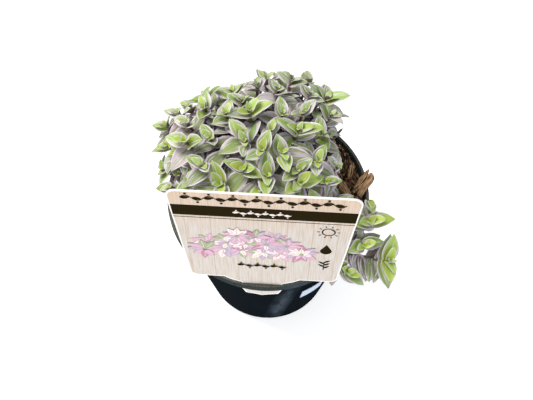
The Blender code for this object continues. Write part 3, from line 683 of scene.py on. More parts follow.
@dataclass(frozen=True)
class PlankPrint:
    """Printed polypropylene sheet: it gives pale upright planks, peach at the top and beige lower."""

    peach: str = "#CDB59D"
    beige: str = "#C6C0B9"
    grain: str = "#B59B80"
    joint: str = "#A58B72"
    roughness: float = 0.30
    mirror: float = 0.2
    plank_mm: float = 13.5
    peach_mm: tuple = (98.0 * 0.6, 98.0)
    grain_stretch: tuple = (1.5, 0.06, 3.0)
    graining: tuple = (0.42, 0.68, 0.0, 0.7)
    joints: tuple = (0.475, 0.497, 0.0, 0.7)

    def material(self) -> Material:
        """Build the printed planks on the sheet's own map, in millimetres.

        Returns:
            The finished material.
        """
        paint = Paint("printed_polypropylene_sheet", self.roughness, self.mirror)
        add = paint.add
        across, up, _ = add("SeparateXYZ", add("UVMap", uv_map="sheet")[0])
        fade = add("MapRange", up, *self.peach_mm)[0]
        faded = add("Mix", {0: fade, 6: self.beige, 7: self.peach})[2]
        planks = add("Math", across, 1 / self.plank_mm, **TIMES)[0]
        board = add("CombineXYZ", across, up, add("Math", planks, operation="FLOOR")[0])[0]
        drawn = add("Mapping", {0: board, 3: self.grain_stretch})[0]
        grain = add("TexNoise", {"Vector": drawn, "Scale": 1.0, "Detail": 4.0})[0]
        streaks = add("MapRange", grain, *self.graining)[0]
        grained = add("Mix", {0: streaks, 6: faded, 7: self.grain})[2]
        inside = add("Math", add("Math", planks, operation="FRACT")[0], 0.5, operation="SUBTRACT")[0]
        joint = add("MapRange", add("Math", inside, **SIZE)[0], *self.joints)[0]
        return paint.finish(add("Mix", {0: joint, 6: grained, 7: self.joint})[2])


@dataclass(frozen=True)
class PlainFinish:
    """A plain even surface, which gives a faint mottle: sheet back, inks, sticker paper and floor."""

    name: str
    colour: str
    roughness: float = 0.3
    mottle: float = 0.04
    mottle_mm: float = 3.0
    glow: float = 0.0
    mirror: float = 0.5
    mottling: tuple = (0.3, 0.7)

    def material(self) -> Material:
        """Build the surface with its mottle.

        Returns:
            The finished material.
        """
        paint = Paint(self.name, self.roughness, self.mirror, self.colour)
        spot = paint.add("TexCoord")["Object"]
        noisy = paint.add("TexNoise", {"Vector": spot, "Scale": 1000 / self.mottle_mm, "Detail": 2.0})[0]
        shade = paint.add("MapRange", noisy, *self.mottling, 1 - self.mottle, 1.0)[0]
        paint.shader.inputs["Emission Color"].default_value = linear(self.colour)
        paint.shader.inputs["Emission Strength"].default_value = self.glow
        feeds = {0: 1.0, 6: self.colour, 7: shade}
        return paint.finish(paint.add("Mix", feeds, blend_type="MULTIPLY")[2])


# Forms that the pieces share


@dataclass(frozen=True)
class PotForm:
    """Sizes of the nursery pot."""

    height: float = 0.115
    rim_radius: float = 0.065
    rim_lip: float = 0.0630
    rim_band: float = 0.007
    wall_top_radius: float = 0.0614
    foot_radius: float = 0.0455
    foot_round: float = 0.0030
    wall: float = 0.0014
    floor: float = 0.0020
    drain_holes: int = 8
    drain_radius: float = 0.0035
    drain_circle: float = 0.034

    @property
    def band_low(self) -> float:
        """Height of the rim band's lower edge."""
        return self.height - self.rim_band

    def wall_radius(self, height: float) -> float:
        """Outer radius of the wall at a height."""
        return self.foot_radius + (self.wall_top_radius - self.foot_radius) * height / self.band_low

    def inner_radius(self, height: float) -> float:
        """Inner radius at a height: the wall's, widening to the lip inside the rim band.

        Args:
            height: Height over the pot's underside.

        Returns:
            The radius.
        """
        if height < self.band_low:
            return self.wall_radius(height) - self.wall
        narrow = self.wall_radius(self.band_low) - self.wall
        return narrow + (self.rim_lip - narrow) * (height - self.band_low) / self.rim_band


@dataclass(frozen=True)
class MixForm:
    """Sizes of the potting mix, whose lumps are waves with a pace along X and Y, a start and a height."""

    top: float = 0.1078
    edge_drop: float = 0.0020
    waves: tuple = ((190.0, 0.0, 1.3, 0.0005), (0.0, 230.0, 0.9, 0.0005), (330.0, -350.0, 0.0, 0.0004))
    foot_hole: float = 0.0026
    foot_hole_low: float = 0.0965

    def height(self, x: float, y: float) -> float:
        """Top of the mix over a point.

        Args:
            x: The point's X.
            y: The point's Y.

        Returns:
            Height of the mix there.
        """
        top = self.top
        for pace_x, pace_y, start, height in self.waves:
            top += height * sin(pace_x * x + pace_y * y + start)
        return top


@dataclass(frozen=True)
class LabelForm:
    """Sizes of the plant label: heights are over the pot's rim."""

    thick: float = 0.0008
    y: float = -0.0624
    lean: float = radians(5)
    bend: float = 0.0024
    shift: float = 0.001
    top: float = 0.0964
    low: float = 0.0076
    top_half: float = 0.0492
    low_half: float = 0.0428
    corner: float = 0.0050
    tongue_half: float = 0.0122
    shoulders: tuple = ((0.0225, 0.0076), (0.0178, 0.0040), (0.0142, 0.0022), (0.0122, 0.0012))
    flare: float = -0.0085
    tongue_end: tuple = (0.0100, -0.0155)
    tip: float = -0.0190
    hole: tuple = (0.0030, 0.0009, -0.0105)
    slot_half: float = 0.0126

    def back(self, height: float) -> float:
        """Y of the label's back face at a height over the rim."""
        return self.y + self.thick / 2 + max(height - self.bend, 0.0) * tan(self.lean)

    def half(self, height: float) -> float:
        """Half width of the head at a height over the rim."""
        return self.low_half + (self.top_half - self.low_half) * max(height, 0.0) / self.top

    def stand(self, x: float, height: float, proud: float, rim: float) -> Vector:
        """Put a point of the flat sheet where the bent sheet has it.

        Args:
            x: Distance to the right along the sheet.
            height: Height along the sheet over the rim.
            proud: Distance in front of the sheet's middle.
            rim: Height of the pot's rim.

        Returns:
            The point on the standing label.
        """
        over = height - self.bend
        if over <= 0:
            return Vector((x, self.y - proud, rim + height))
        sine, cosine = sin(self.lean), cos(self.lean)
        y = self.y + over * sine - proud * cosine
        return Vector((x, y, rim + self.bend + over * cosine + proud * sine))


@dataclass(frozen=True)
class LeafForm:
    """Sizes of a leaf blade, for a leaf of size 1."""

    length: float = 0.0130
    width: float = 0.0084
    thick: float = 0.0009
    stations: tuple = (0.27, 0.64)
    root: float = -0.03
    fold: float = 0.42
    curl: float = 0.16
    point: float = 1.2
    heel: float = 0.4
    belly: float = 3.0
    widest: float = 0.867
    step: float = 0.0013
    to_light: float = 0.7
    turns: tuple = (-0.15, 0.15)
    splays: tuple = (-0.10, 0.14)
    sizes: tuple = (0.93, 1.07)
    smaller: tuple = (1.0, 0.86, 0.74)
    more_splay: tuple = (0, 10, -10, 20, -18, 28)
    more_turn: tuple = (0, 12, -12, 24, -24)
    probes: tuple = (0.3, 0.5, 0.75, 1.0)
    tone_steps: tuple = (0.37, 0.61, 0.23)

    def outline(self, share: float) -> float:
        """Half width at a share of the length, as a share of its greatest half width."""
        return max(1.0 - share, 0.0) ** self.point * (self.heel + self.belly * share) / self.widest


@dataclass(frozen=True)
class StemForm:
    """Sizes of the stems."""

    radius: float = 0.0010
    sides: int = 3
    neck: float = 0.0105
    bud: float = 0.0045
    sunk: float = 0.0010
    stagger: float = 0.0003
    rise: tuple = (0.45, 0.004)
    spread: float = 0.25
    bends: tuple = (0.002, 0.004, 0.006, 0.009)
    bend_ways: int = 8
    crown_sides: int = 6
    crown_radius: float = MixForm.foot_hole - GAP - 0.0002
    crown_rise: float = 0.0036


POT = PotForm()
MIX = MixForm()
LABEL = LabelForm()
LEAF = LeafForm()
STEM = StemForm()

# Bark chips of the model: name, place and size
CHIPS = (
    ("bark_chip_1", (0.0612, 0.0085), (0.0200, 0.0085, 0.0060)),
    ("bark_chip_2", (0.0432, 0.0105), (0.0170, 0.0080, 0.0055)),
    ("bark_chip_3", (0.0472, 0.0245), (0.0125, 0.0070, 0.0045)),
    ("bark_chip_4", (0.0362, 0.0235), (0.0095, 0.0060, 0.0045)),
    ("bark_chip_5", (0.0395, 0.0345), (0.0100, 0.0060, 0.0040)),
    ("bark_chip_6", (0.0490, -0.0075), (0.0140, 0.0075, 0.0050)),
)


@dataclass(frozen=True)
class KeepOut:
    """Room that the plant keeps from the rim, the mix, the label and the bark, which it leaves bare."""

    rim_inset: float = 0.0045
    keep_off: float = 0.0007
    lowest_leaf: float = 0.070
    bare_x: float = 0.0445
    bare_y: tuple = (-0.012, 0.047)
    beside_label: float = 0.004
    below_label: float = -0.020

    def is_clear(self, point: Vector, margin: float) -> bool:
        """Tell whether a point is outside the pot, the mix, the label and the bark.

        Args:
            point: Point to look at.
            margin: Distance that it keeps from them.

        Returns:
            True where there is room.
        """
        room = margin + self.keep_off
        radius = hypot(point.x, point.y)
        over_rim = point.z - POT.height
        if radius < POT.rim_lip - self.rim_inset:
            if point.z < MIX.height(point.x, point.y) + room:
                return False
        elif radius < POT.rim_radius + room and over_rim < room:
            return False
        if point.z < self.lowest_leaf:
            return False
        if point.x > self.bare_x and self.bare_y[0] < point.y < self.bare_y[1]:
            return False
        aside = abs(point.x - LABEL.shift)
        if aside < LABEL.top_half + self.beside_label and over_rim > self.below_label:
            if aside < LABEL.half(over_rim) + room and point.y < LABEL.back(over_rim) + room:
                return False
        for _, centre, size in CHIPS:
            apart = hypot(point.x - centre[0], point.y - centre[1])
            if apart < size[0] / 2 + self.keep_off and point.z < MIX.top + size[1] + margin:
                return False
        return True


ROOM = KeepOut()


# Pot, mix and bark


@dataclass(frozen=True)
class NurseryPot:
    """The pot: turned wall and rim band, label slot and drain holes."""

    steps: int = 128
    band_round: float = 0.0008
    round_steps: int = 5
    band_step: tuple = (0.0003, 0.001)
    lip_drop: float = 0.0002
    slot_width: float = LABEL.thick + 2 * GAP
    slot_past: float = 0.004
    drain_sides: int = 24
    drain_depth: float = 0.006
    crease: float = 30

    def corner(self, radius: float, height: float, size: float, start: int) -> list[tuple[float, float]]:
        """Round a corner about a radius and height, by a quarter turn from a start in degrees."""
        angles = [radians(start + 90 * k / self.round_steps) for k in range(self.round_steps + 1)]
        return [(radius + out, height + up) for out, up in (around(angle, size) for angle in angles)]

    def outline(self) -> list[tuple[float, float]]:
        """Draw the outline from under the floor, up the outside and down the inside.

        Returns:
            Radius and height of each point.
        """
        low, soft = POT.foot_round, self.band_round
        out, down = self.band_step
        points = [(0.0, 0.0)]
        points += self.corner(POT.wall_radius(low) - low, low, low, -90)
        points += [(POT.wall_radius(POT.band_low - down), POT.band_low - down)]
        points += [(POT.wall_top_radius + out, POT.band_low)]
        points += self.corner(POT.rim_radius - soft, POT.band_low + soft, soft, -90)
        points += self.corner(POT.rim_radius - soft, POT.height - soft, soft, 0)
        points += [(POT.rim_lip, POT.height - self.lip_drop)]
        points += [(POT.wall_radius(POT.band_low) - POT.wall, POT.band_low)]
        points += [(POT.wall_radius(POT.floor) - POT.wall, POT.floor), (0.0, POT.floor)]
        return points

    def build(self, plastic: Material) -> None:
        """Model the pot and put it in the place of its CAD node.

        Args:
            plastic: Finish of the pot.
        """
        pot = turned("nursery_pot_moulded", self.outline(), self.steps)
        spot = (0, LABEL.y, POT.height - POT.rim_band / 2)
        slot = begin(bpy.ops.mesh.primitive_cube_add, "slot", size=1, location=spot)
        slot.scale = (2 * LABEL.slot_half, self.slot_width, POT.rim_band + self.slot_past)
        cut(pot, slot)
        for step in range(POT.drain_holes):
            spot = (*around(2 * pi * (step + 0.5) / POT.drain_holes, POT.drain_circle), POT.floor / 2)
            drain = begin(bpy.ops.mesh.primitive_cylinder_add, "drain", vertices=self.drain_sides,
                          radius=POT.drain_radius, depth=self.drain_depth, location=spot)
            cut(pot, drain)
        dress(pot, plastic)
        smooth(pot, self.crease)
        place(pot, "pot_plastic", "nursery_pot")


@dataclass(frozen=True)
class PottingMix:
    """The mix: a crumbly top over a plain body, with loose crumbs and fibres lying on it."""

    steps: int = 110
    ring_step: float = 0.0016
    crumb_height: float = 0.0007
    crumb_pace: float = 230
    crumbs: int = 420
    sizes: tuple = ((0.0016, 0.0062), (0.0010, 0.0024), (0.0006, 0.0014))
    tilt: float = 0.25
    from_wall: float = 0.6
    from_chip: float = 0.42
    bedded: float = 0.35
    crease: float = 60
    seed: int = 5

    def top(self, x: float, y: float) -> float:
        """Top of the crumbly surface over a point."""
        rough = noise.fractal(Vector((x, y, 0.3)) * self.crumb_pace, 1.0, 2.0, 3)
        return MIX.height(x, y) + self.crumb_height * rough

    def build(self, peat: Material, bark: Material) -> None:
        """Model the mix and its loose crumbs.

        Args:
            peat: Finish of the mix.
            bark: Finish of the crumbs.
        """
        low = POT.floor + GAP
        edge = POT.wall_radius(MIX.top - MIX.edge_drop) - POT.wall - GAP
        outline = [(0.0, low), (POT.wall_radius(low) - POT.wall - 2 * GAP, low)]
        rings = round(edge / self.ring_step)
        outline += [(edge * k / rings, MIX.top - MIX.edge_drop) for k in range(rings, -1, -1)]
        mix = turned("potting_mix_body", outline, self.steps)
        for vertex in mix.data.vertices:
            x, y, z = vertex.co
            if z > MIX.top - 2 * MIX.edge_drop:
                inward = min((edge - hypot(x, y)) / (3 * self.ring_step), 1.0)
                vertex.co.z += (self.top(x, y) - z) * inward
        dress(mix, peat)
        smooth(mix, self.crease)
        place(mix, "potting_mix", "potting_mix")
        self.strew(edge, bark)

    def strew(self, edge: float, bark: Material) -> None:
        """Strew loose crumbs of bark over the mix.

        Args:
            edge: Radius of the mix's top.
            bark: Finish of the crumbs.
        """
        rng = Random(self.seed)
        heap = ChipHeap()
        while len(heap.chips) < self.crumbs:
            bearing = rng.uniform(0, 2 * pi)
            size = Vector([rng.uniform(*span) for span in self.sizes])
            x, y = around(bearing, (edge - size.x * self.from_wall) * sqrt(rng.random()))
            heading, tilt, dark = rng.uniform(0, pi), rng.uniform(-self.tilt, self.tilt), rng.random()
            if any(hypot(x - c[0], y - c[1]) < s[0] * self.from_chip for _, c, s in CHIPS):
                continue
            turn = Matrix.Rotation(heading, 3, "Z") @ Matrix.Rotation(tilt, 3, "Y")
            heap.add(Vector((x, y, self.top(x, y) + size.z * self.bedded)), turn, size, dark, rng)
        heap.build("bark_crumbs", bark)


class ChipHeap:
    """Many small bark chips in one mesh, each a block with uneven corners."""

    EDGE = 0.12
    LEAN = 0.35
    PINCH = (0.2, 0.75)
    UNEVEN = 0.10
    GRAIN_TURN = 1.4
    GRAIN_STEP = 0.01

    def __init__(self) -> None:
        """Start empty, with one block as the start of every chip."""
        block = begin(bpy.ops.mesh.primitive_cube_add, "block", size=1)
        with editing(block):
            bpy.ops.mesh.bevel(offset=self.EDGE, offset_type="OFFSET", segments=1, affect="EDGES")
        self.corners = [v.co.copy() for v in block.data.vertices]
        self.faces = [tuple(face.vertices) for face in block.data.polygons]
        self.chips: list[tuple] = []
        bpy.data.objects.remove(block, do_unlink=True)

    def add(self, middle: Vector, turn: Matrix, size: Vector, dark: float, rng: Random) -> None:
        """Add a chip.

        Args:
            middle: Where its middle lies.
            turn: How it is turned.
            size: Length, width and thickness.
            dark: How dark it is, from 0 to 1.
            rng: Source of its uneven corners.
        """
        verts, grain = [], []
        lean, pinch = rng.uniform(-self.LEAN, self.LEAN), rng.uniform(*self.PINCH)
        for corner in self.corners:
            uneven = Vector((corner.x + lean * corner.y, corner.y, corner.z))
            narrow = 1 - pinch * max(uneven.x, 0.0)
            uneven.y *= narrow
            uneven.z *= narrow
            uneven *= 1 + rng.uniform(-self.UNEVEN, self.UNEVEN)
            local = uneven * size
            verts.append(middle + turn @ local)
            grain.append((local.x, local.y + self.GRAIN_TURN * local.z + self.GRAIN_STEP * len(self.chips)))
        self.chips.append((verts, grain, dark))

    def build(self, name: str, bark: Material) -> None:
        """Make the heap's mesh, with its grain map and tint.

        Args:
            name: Name of the heap.
            bark: Its finish.
        """
        verts, faces, grain, tints = [], [], [], []
        for chip_verts, chip_grain, dark in self.chips:
            start = len(verts)
            verts += chip_verts
            grain += chip_grain
            tints += [(dark, 0.0, 0.0, 1.0)] * len(chip_verts)
            faces += [tuple(start + k for k in face) for face in self.faces]
        heap = piece_from(name, verts, faces)
        map_points(heap.data, "grain", grain)
        tint_points(heap.data, tints)
        dress(heap, bark)
        place(heap, "bark")


@dataclass(frozen=True)
class BarkHeap:
    """Loose bark heaped up to the rim at the rear right, where no leaf covers the mix."""

    bearings: tuple = (radians(-18), radians(58))
    ends: float = radians(9)
    reach: tuple = (0.0400, 0.0620)
    low: float = MIX.top - 0.0004
    high: float = POT.height - 0.0007
    buried: float = 0.0022
    sizes: tuple = ((0.0030, 0.0100), (0.0010, 0.0030), (0.0008, 0.0020))
    outwards: float = 0.7
    smaller: float = 0.4
    in_line: float = 0.7
    tilts: tuple = (0.45, 0.6)
    level: float = 0.5
    chunk_tilt: float = 0.15
    pieces: int = 640
    chunks: tuple = (
        ((0.0505, 0.0040, 0.1120), -56, (0.0160, 0.0052, 0.0040)),
        ((0.0450, 0.0130, 0.1105), -15, (0.0120, 0.0040, 0.0032)),
        ((0.0530, 0.0200, 0.1135), 85, (0.0110, 0.0036, 0.0030)),
    )
    seed: int = 9

    def build(self, bark: Material) -> None:
        """Model the heap, which slopes up to the rim; its chips lie along the wall there.

        Args:
            bark: Finish of the chips.
        """
        rng = Random(self.seed)
        heap = ChipHeap()
        for middle, heading, size in self.chunks:
            turn = Matrix.Rotation(radians(heading), 3, "Z") @ Matrix.Rotation(self.chunk_tilt, 3, "Y")
            heap.add(Vector(middle), turn, Vector(size), 0.0, rng)
        while len(heap.chips) < self.pieces:
            bearing, share = rng.uniform(*self.bearings), rng.random() ** self.outwards
            radius = self.reach[0] + (self.reach[1] - self.reach[0]) * share
            size = Vector([rng.uniform(*span) for span in self.sizes])
            size *= 1 - self.smaller * share
            heading = bearing + pi / 2 * (1 + rng.uniform(-1, 1) * (1 - self.in_line * share))
            nod, roll = (rng.uniform(-most, most) for most in self.tilts)
            end = min(bearing - self.bearings[0], self.bearings[1] - bearing) / self.ends
            top = self.low + (self.high - self.low) * share * min(end, 1.0)
            height = top - rng.uniform(0, self.buried)
            across = abs(cos(heading - bearing)) * size.x / 2 + abs(sin(heading - bearing)) * size.y / 2
            if radius + across > POT.inner_radius(height) - GAP:
                continue
            turn = Matrix.Rotation(heading, 3, "Z") @ Matrix.Rotation(nod * (1 - self.level * share), 3, "Y")
            turn = turn @ Matrix.Rotation(roll, 3, "X")
            heap.add(Vector((*around(bearing, radius), height)), turn, size, rng.random(), rng)
        heap.build("bark_heap", bark)


@dataclass(frozen=True)
class BarkChips:
    """The large bark chips, each from its CAD solid: worn edges, grooved faces, splintered ends."""

    wear: float = 0.0005
    groove: float = 0.0007
    splinter: float = 0.0090
    splinter_from: float = 0.4
    lump: float = 0.0012
    flat: float = radians(3)
    voxel: float = 0.0004
    crease: float = 50
    groove_paces: tuple = (130, 1100, 1100)
    finer: tuple = (2.3, 0.5)
    splinter_paces: tuple = (520, 300, 9)
    lump_paces: tuple = (90, 260, 260)
    grain_turn: float = 0.7
    darkest: float = 0.25
    seed: int = 12

    def build(self, bark: Material) -> None:
        """Model each chip and put it in its node's place.

        Args:
            bark: Finish of the chips.
        """
        rng = Random(self.seed)
        for name, _, _ in CHIPS:
            chip = link(name + "_split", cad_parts[name].data.copy())
            with editing(chip):
                bpy.ops.mesh.remove_doubles(threshold=MERGE)
                bpy.ops.mesh.dissolve_limited(angle_limit=self.flat)
            worn = chip.modifiers.new("wear", "BEVEL")
            worn.width = self.wear
            worn.segments = 2
            finer = chip.modifiers.new("finer", "REMESH")
            finer.mode = "VOXEL"
            finer.voxel_size = self.voxel
            apply_modifiers(chip)
            self.split(chip.data, rng)
            dress(chip, bark)
            smooth(chip, self.crease)
            place(chip, "bark", name)

    def split(self, mesh: bpy.types.Mesh, rng: Random) -> None:
        """Groove a chip along its longest way and map its grain.

        Args:
            mesh: Mesh of the chip.
            rng: Source of its tone.
        """
        points = np.array([v.co[:] for v in mesh.vertices])
        middle = points.mean(0)
        ways = np.linalg.svd(points - middle, full_matrices=False)[2]
        local = (points - middle) @ ways.T
        half, way = np.abs(local[:, 0]).max(), Vector(ways[0])
        shift = rng.uniform(0, 50)
        pace, share = self.finer
        fast, slow, apart = self.splinter_paces
        for vertex, spot in zip(mesh.vertices, local):
            long, wide, deep = spot
            grooved = Vector(spot * self.groove_paces + (shift, 0, 0))
            inward = max(noise.noise(grooved), 0.0) + share * max(noise.noise(grooved * pace), 0.0)
            vertex.co -= vertex.normal * (self.groove * inward)
            end = max(abs(long) / half - self.splinter_from, 0.0) / (1 - self.splinter_from)
            ragged = abs(noise.noise(Vector((wide * fast, deep * slow, shift + copysign(apart, long)))))
            vertex.co -= way * (copysign(self.splinter * end * ragged, long))
            vertex.co += vertex.normal * (self.lump * noise.noise(Vector(spot * self.lump_paces)))
        map_points(mesh, "grain", [(p[0] + shift, p[1] + self.grain_turn * p[2]) for p in local])
        dark = rng.uniform(0.0, self.darkest)
        tint_points(mesh, [(dark, 0.0, 0.0, 1.0)] * len(mesh.vertices))


# Label and sticker


@dataclass(frozen=True)
class PlantLabel:
    """The label: a bent printed sheet with a pale border, and flat printed shapes on its front."""

    border: float = 0.0008
    corner_steps: int = 8
    hole_sides: int = 20
    hole_depth: float = 0.004
    crease: float = 30

    def outline(self) -> list[tuple[float, float]]:
        """Draw the outline of the flat sheet, anticlockwise from its tip.

        Returns:
            Place of each point across and up the sheet.
        """
        tongue = [LABEL.tongue_end, (LABEL.tongue_half, LABEL.flare), *reversed(LABEL.shoulders)]
        head = []
        slope = (LABEL.top_half - LABEL.low_half) / (LABEL.top - LABEL.low)
        for middle, start in ((LABEL.low + LABEL.corner, -90), (LABEL.top - LABEL.corner, 0)):
            across = LABEL.low_half + slope * (middle - LABEL.low) - LABEL.corner
            for step in range(self.corner_steps + 1):
                x, s = around(radians(start + 90 * step / self.corner_steps), LABEL.corner)
                head.append((LABEL.shift + across + x, middle + s))
        left = [(2 * LABEL.shift - x, s) for x, s in reversed(head)]
        return [(0.0, LABEL.tip), *tongue, *head, *left, *[(-x, s) for x, s in reversed(tongue)]]

    def build(self, planks: Material, bare: Material) -> None:
        """Model the sheet: outline, border, bend, thickness and the small oval hole in its tongue.

        Args:
            planks: Finish of its front.
            bare: Finish of its border, edge and back.
        """
        outline = self.outline()
        ring = bpy.ops.mesh.primitive_circle_add
        sheet = begin(ring, "plant_label_sheet", vertices=len(outline), radius=0.05, fill_type="NGON")
        for vertex, (x, s) in zip(sheet.data.vertices, outline):
            vertex.co = (x, 0.0, s)
        with editing(sheet):
            bpy.ops.mesh.inset(thickness=self.border, depth=0.0)
        dress(sheet, planks, bare)
        inner = max(sheet.data.polygons, key=lambda face: face.area)
        for face in sheet.data.polygons:
            face.material_index = 0 if face.index == inner.index else 1
        with editing(sheet):
            bpy.ops.mesh.bisect(plane_co=(0, 0, LABEL.bend), plane_no=(0, 0, 1))
            bpy.ops.mesh.select_all(action="SELECT")
            bpy.ops.mesh.quads_convert_to_tris(ngon_method="BEAUTY")
        map_points(sheet.data, "sheet", [(v.co.x * 1000, v.co.z * 1000) for v in sheet.data.vertices])
        for vertex in sheet.data.vertices:
            vertex.co = LABEL.stand(vertex.co.x, vertex.co.z, 0.0, POT.height)
        if any(face.normal.y > 0 for face in sheet.data.polygons):
            sheet.data.flip_normals()
        thicken(sheet, LABEL.thick, 0, back=1)
        half_x, half_s, middle = LABEL.hole
        cutter = begin(bpy.ops.mesh.primitive_cylinder_add, "hole", vertices=self.hole_sides, radius=1,
                       depth=self.hole_depth, location=(0, LABEL.y, POT.height + middle),
                       rotation=(pi / 2, 0, 0))
        cutter.scale = (half_x, half_s, 1)
        cut(sheet, cutter)
        smooth(sheet, self.crease)
        place(sheet, "label_sheet", "plant_label")


@dataclass
class LabelPrint:
    """Flat inked shapes on the label's front: garlands, a band, a bank of rosettes and icons.

    The print's sizes are in millimetres on the flat sheet. A garland has its middle line, start,
    end, number of waves, rise and ink. A ring of leaves has its count, length and inks.
    """

    proud: float = 0.00003
    film: float = 0.00002
    level: float = 0.0000015
    levels: int = 240
    seed: int = 8
    rows: tuple = (
        (55, 0.72, (-13, -3, 7)),
        (48, 0.82, (-29, -19, -9, 2, 13)),
        (40, 0.86, (-31, -21, -11, 0, 11, 21)),
    )
    astray: tuple = (1, 1.2)
    leaf_rings: tuple = (
        (9, 10.5, (Ink.PINK, Ink.LILAC, Ink.GREEN, Ink.CREAM, Ink.ROSE, Ink.PINK)),
        (7, 6.4, (Ink.CREAM, Ink.PINK, Ink.LILAC)),
    )
    leaf_slim: float = 0.52
    leaf_from: float = 1.2
    heart: float = 1.3
    leaf_shares: tuple = (0.0, 0.12, 0.3, 0.5, 0.7, 0.88, 1.0)
    vein: tuple = (0.15, 0.8, 0.22)
    band: tuple = ((74.5, 0.0755), (84.0, 0.0845))
    side_gap: float = 0.9
    rule: tuple = (72.6, 0.5)
    top_garland: tuple = (90.6, -41.0, 42.0, 7, 2.1, Ink.DARK)
    band_garland: tuple = (79.2, -15.0, 15.0, 4, 1.3, Ink.CREAM)
    foot_garland: tuple = (23.5, -14.0, 14.0, 3, 1.6, Ink.DARK)
    bow_leaf: tuple = (0.08, 0.82, 0.42, 0.12)
    berry: tuple = (1.75, 0.36, 10)
    icons: tuple = ((Icon.SUN, 64.5), (Icon.DROP, 45.5), (Icon.SPRIG, 28.0))
    icons_x: float = 35.0
    icon_unit: float = 1.35
    icon_line: float = 0.6
    sprig: tuple = ((-2.4, 1), (-1.2, -1), (0.0, 1), (1.2, -1), (2.4, 1))
    verts: list = field(default_factory=list)
    faces: list = field(default_factory=list)
    inks: list = field(default_factory=list)

    def stamp(self, points: Points, ink: Ink) -> None:
        """Ink a flat shape.

        Args:
            points: Its outline on the sheet.
            ink: Which ink it takes.
        """
        lift = LABEL.thick / 2 + self.proud + self.level * (len(self.faces) % self.levels)
        start = len(self.verts)
        self.verts += [LABEL.stand(x / 1000, s / 1000, lift, POT.height) for x, s in points]
        self.faces.append(tuple(range(start, len(self.verts))))
        self.inks.append(int(ink))

    def arc(self, x: float, s: float, radius: float, angles: Sequence[float]) -> list[tuple[float, float]]:
        """Points on a circle round a point, at some angles."""
        return [(x + across, s + up) for across, up in (around(angle, radius) for angle in angles)]

    def disc(self, x: float, s: float, radius: float, ink: Ink, sides: int = 24) -> None:
        """Ink a round spot."""
        self.stamp(self.arc(x, s, radius, [2 * pi / sides * k for k in range(sides)]), ink)

    def line(self, start: tuple[float, float], end: tuple[float, float], width: float, ink: Ink) -> None:
        """Ink a straight line.

        Args:
            start: One end of it.
            end: Its other end.
            width: Its width.
            ink: Which ink it takes.
        """
        near, far = Vector(start), Vector(end)
        way = far - near
        side = Vector((-way.y, way.x)).normalized() * width / 2
        self.stamp([tuple(spot) for spot in (near - side, far - side, far + side, near + side)], ink)

    def ring(self, x: float, s: float, radius: float, width: float, ink: Ink) -> None:
        """Ink a ring, as short pieces side by side.

        Args:
            x: Its middle across the sheet.
            s: Height of its middle.
            radius: Radius of its middle line.
            width: Width of its line.
            ink: Which ink it takes.
        """
        sides = 20
        inner, outer = radius - width / 2, radius + width / 2
        for k in range(sides):
            ends = 2 * pi * k / sides, 2 * pi * (k + 1) / sides
            a, d = self.arc(x, s, inner, ends)
            b, c = self.arc(x, s, outer, ends)
            self.stamp([a, b, c, d], ink)

    def leaf(self, x: float, s: float, length: float, width: float, heading: float, ink: Ink,
             vein: Ink = Ink.CREAM) -> None:
        """Ink a leaf that starts at a point and points along a heading.

        Args:
            x: Place of its root across the sheet.
            s: Height of its root.
            length: Its length.
            width: Its greatest width.
            heading: Angle in radians, anticlockwise from the right.
            ink: Which ink it takes.
            vein: Ink of the line along its middle.
        """
        right = [(share * length, LEAF.outline(share) * width / 2) for share in self.leaf_shares]
        left = [(along, -across) for along, across in reversed(right[:-1])]
        cosine, sine = cos(heading), sin(heading)
        self.stamp([(x + a * cosine - b * sine, s + a * sine + b * cosine) for a, b in right + left], ink)
        *ends, wide = self.vein
        near, far = ((x + share * length * cosine, s + share * length * sine) for share in ends)
        self.line(near, far, wide, vein)

    def rosette(self, x: float, s: float, size: float, rng: Random) -> None:
        """Ink a rosette of rings of leaves.

        Args:
            x: Its middle across the sheet.
            s: Height of its middle.
            size: Its size against a full one.
            rng: Source of its small differences.
        """
        for count, length, shades in self.leaf_rings:
            shift = rng.random()
            for step in range(count):
                heading = 2 * pi * (step + shift) / count + rng.uniform(-0.12, 0.12)
                long = size * length * rng.uniform(0.85, 1.1)
                ink = shades[rng.randrange(len(shades))]
                root = self.arc(x, s, self.leaf_from, [heading])[0]
                vein = Ink.ROSE if ink is Ink.CREAM else Ink.CREAM
                self.leaf(*root, long, long * self.leaf_slim, heading, ink, vein)
        self.disc(x, s, self.heart * size, Ink.GREEN)

    def bank(self) -> None:
        """Ink a bank of rosettes: three rows, from the highest to the lowest, each over the last."""
        rng = Random(self.seed)
        for s, size, places in self.rows:
            for x in places:
                aside, up = (rng.uniform(-most, most) for most in self.astray)
                self.rosette(x + aside, s + up, size, rng)

    def garland(self, middle: float, start: float, end: float, waves: int, rise: float, ink: Ink) -> None:
        """Ink a running vine: a waving tendril, a leaf in each of its bows and a berry outside each.

        Args:
            middle: Height of its middle line.
            start: Where it starts across the sheet.
            end: Where it ends.
            waves: How many waves it has.
            rise: How far the tendril swings from the middle line.
            ink: Which ink it takes.
        """
        after, long, wide, tilt = self.bow_leaf
        off, size, sides = self.berry
        steps = 12 * waves
        bow = (end - start) / (2 * waves)
        spots = [(start + (end - start) * step / steps, middle + rise * sin(pi * step / 6))
                 for step in range(steps + 1)]
        for near, far in zip(spots, spots[1:]):
            self.line(near, far, 0.3 * rise, ink)
        for number in range(2 * waves):
            up = 1 if number % 2 == 0 else -1
            self.leaf(start + bow * (number + after), middle, long * bow, wide * bow, tilt * up, ink, ink)
            self.disc(start + bow * (number + 0.5), middle + up * rise * off, size * rise, ink, sides)

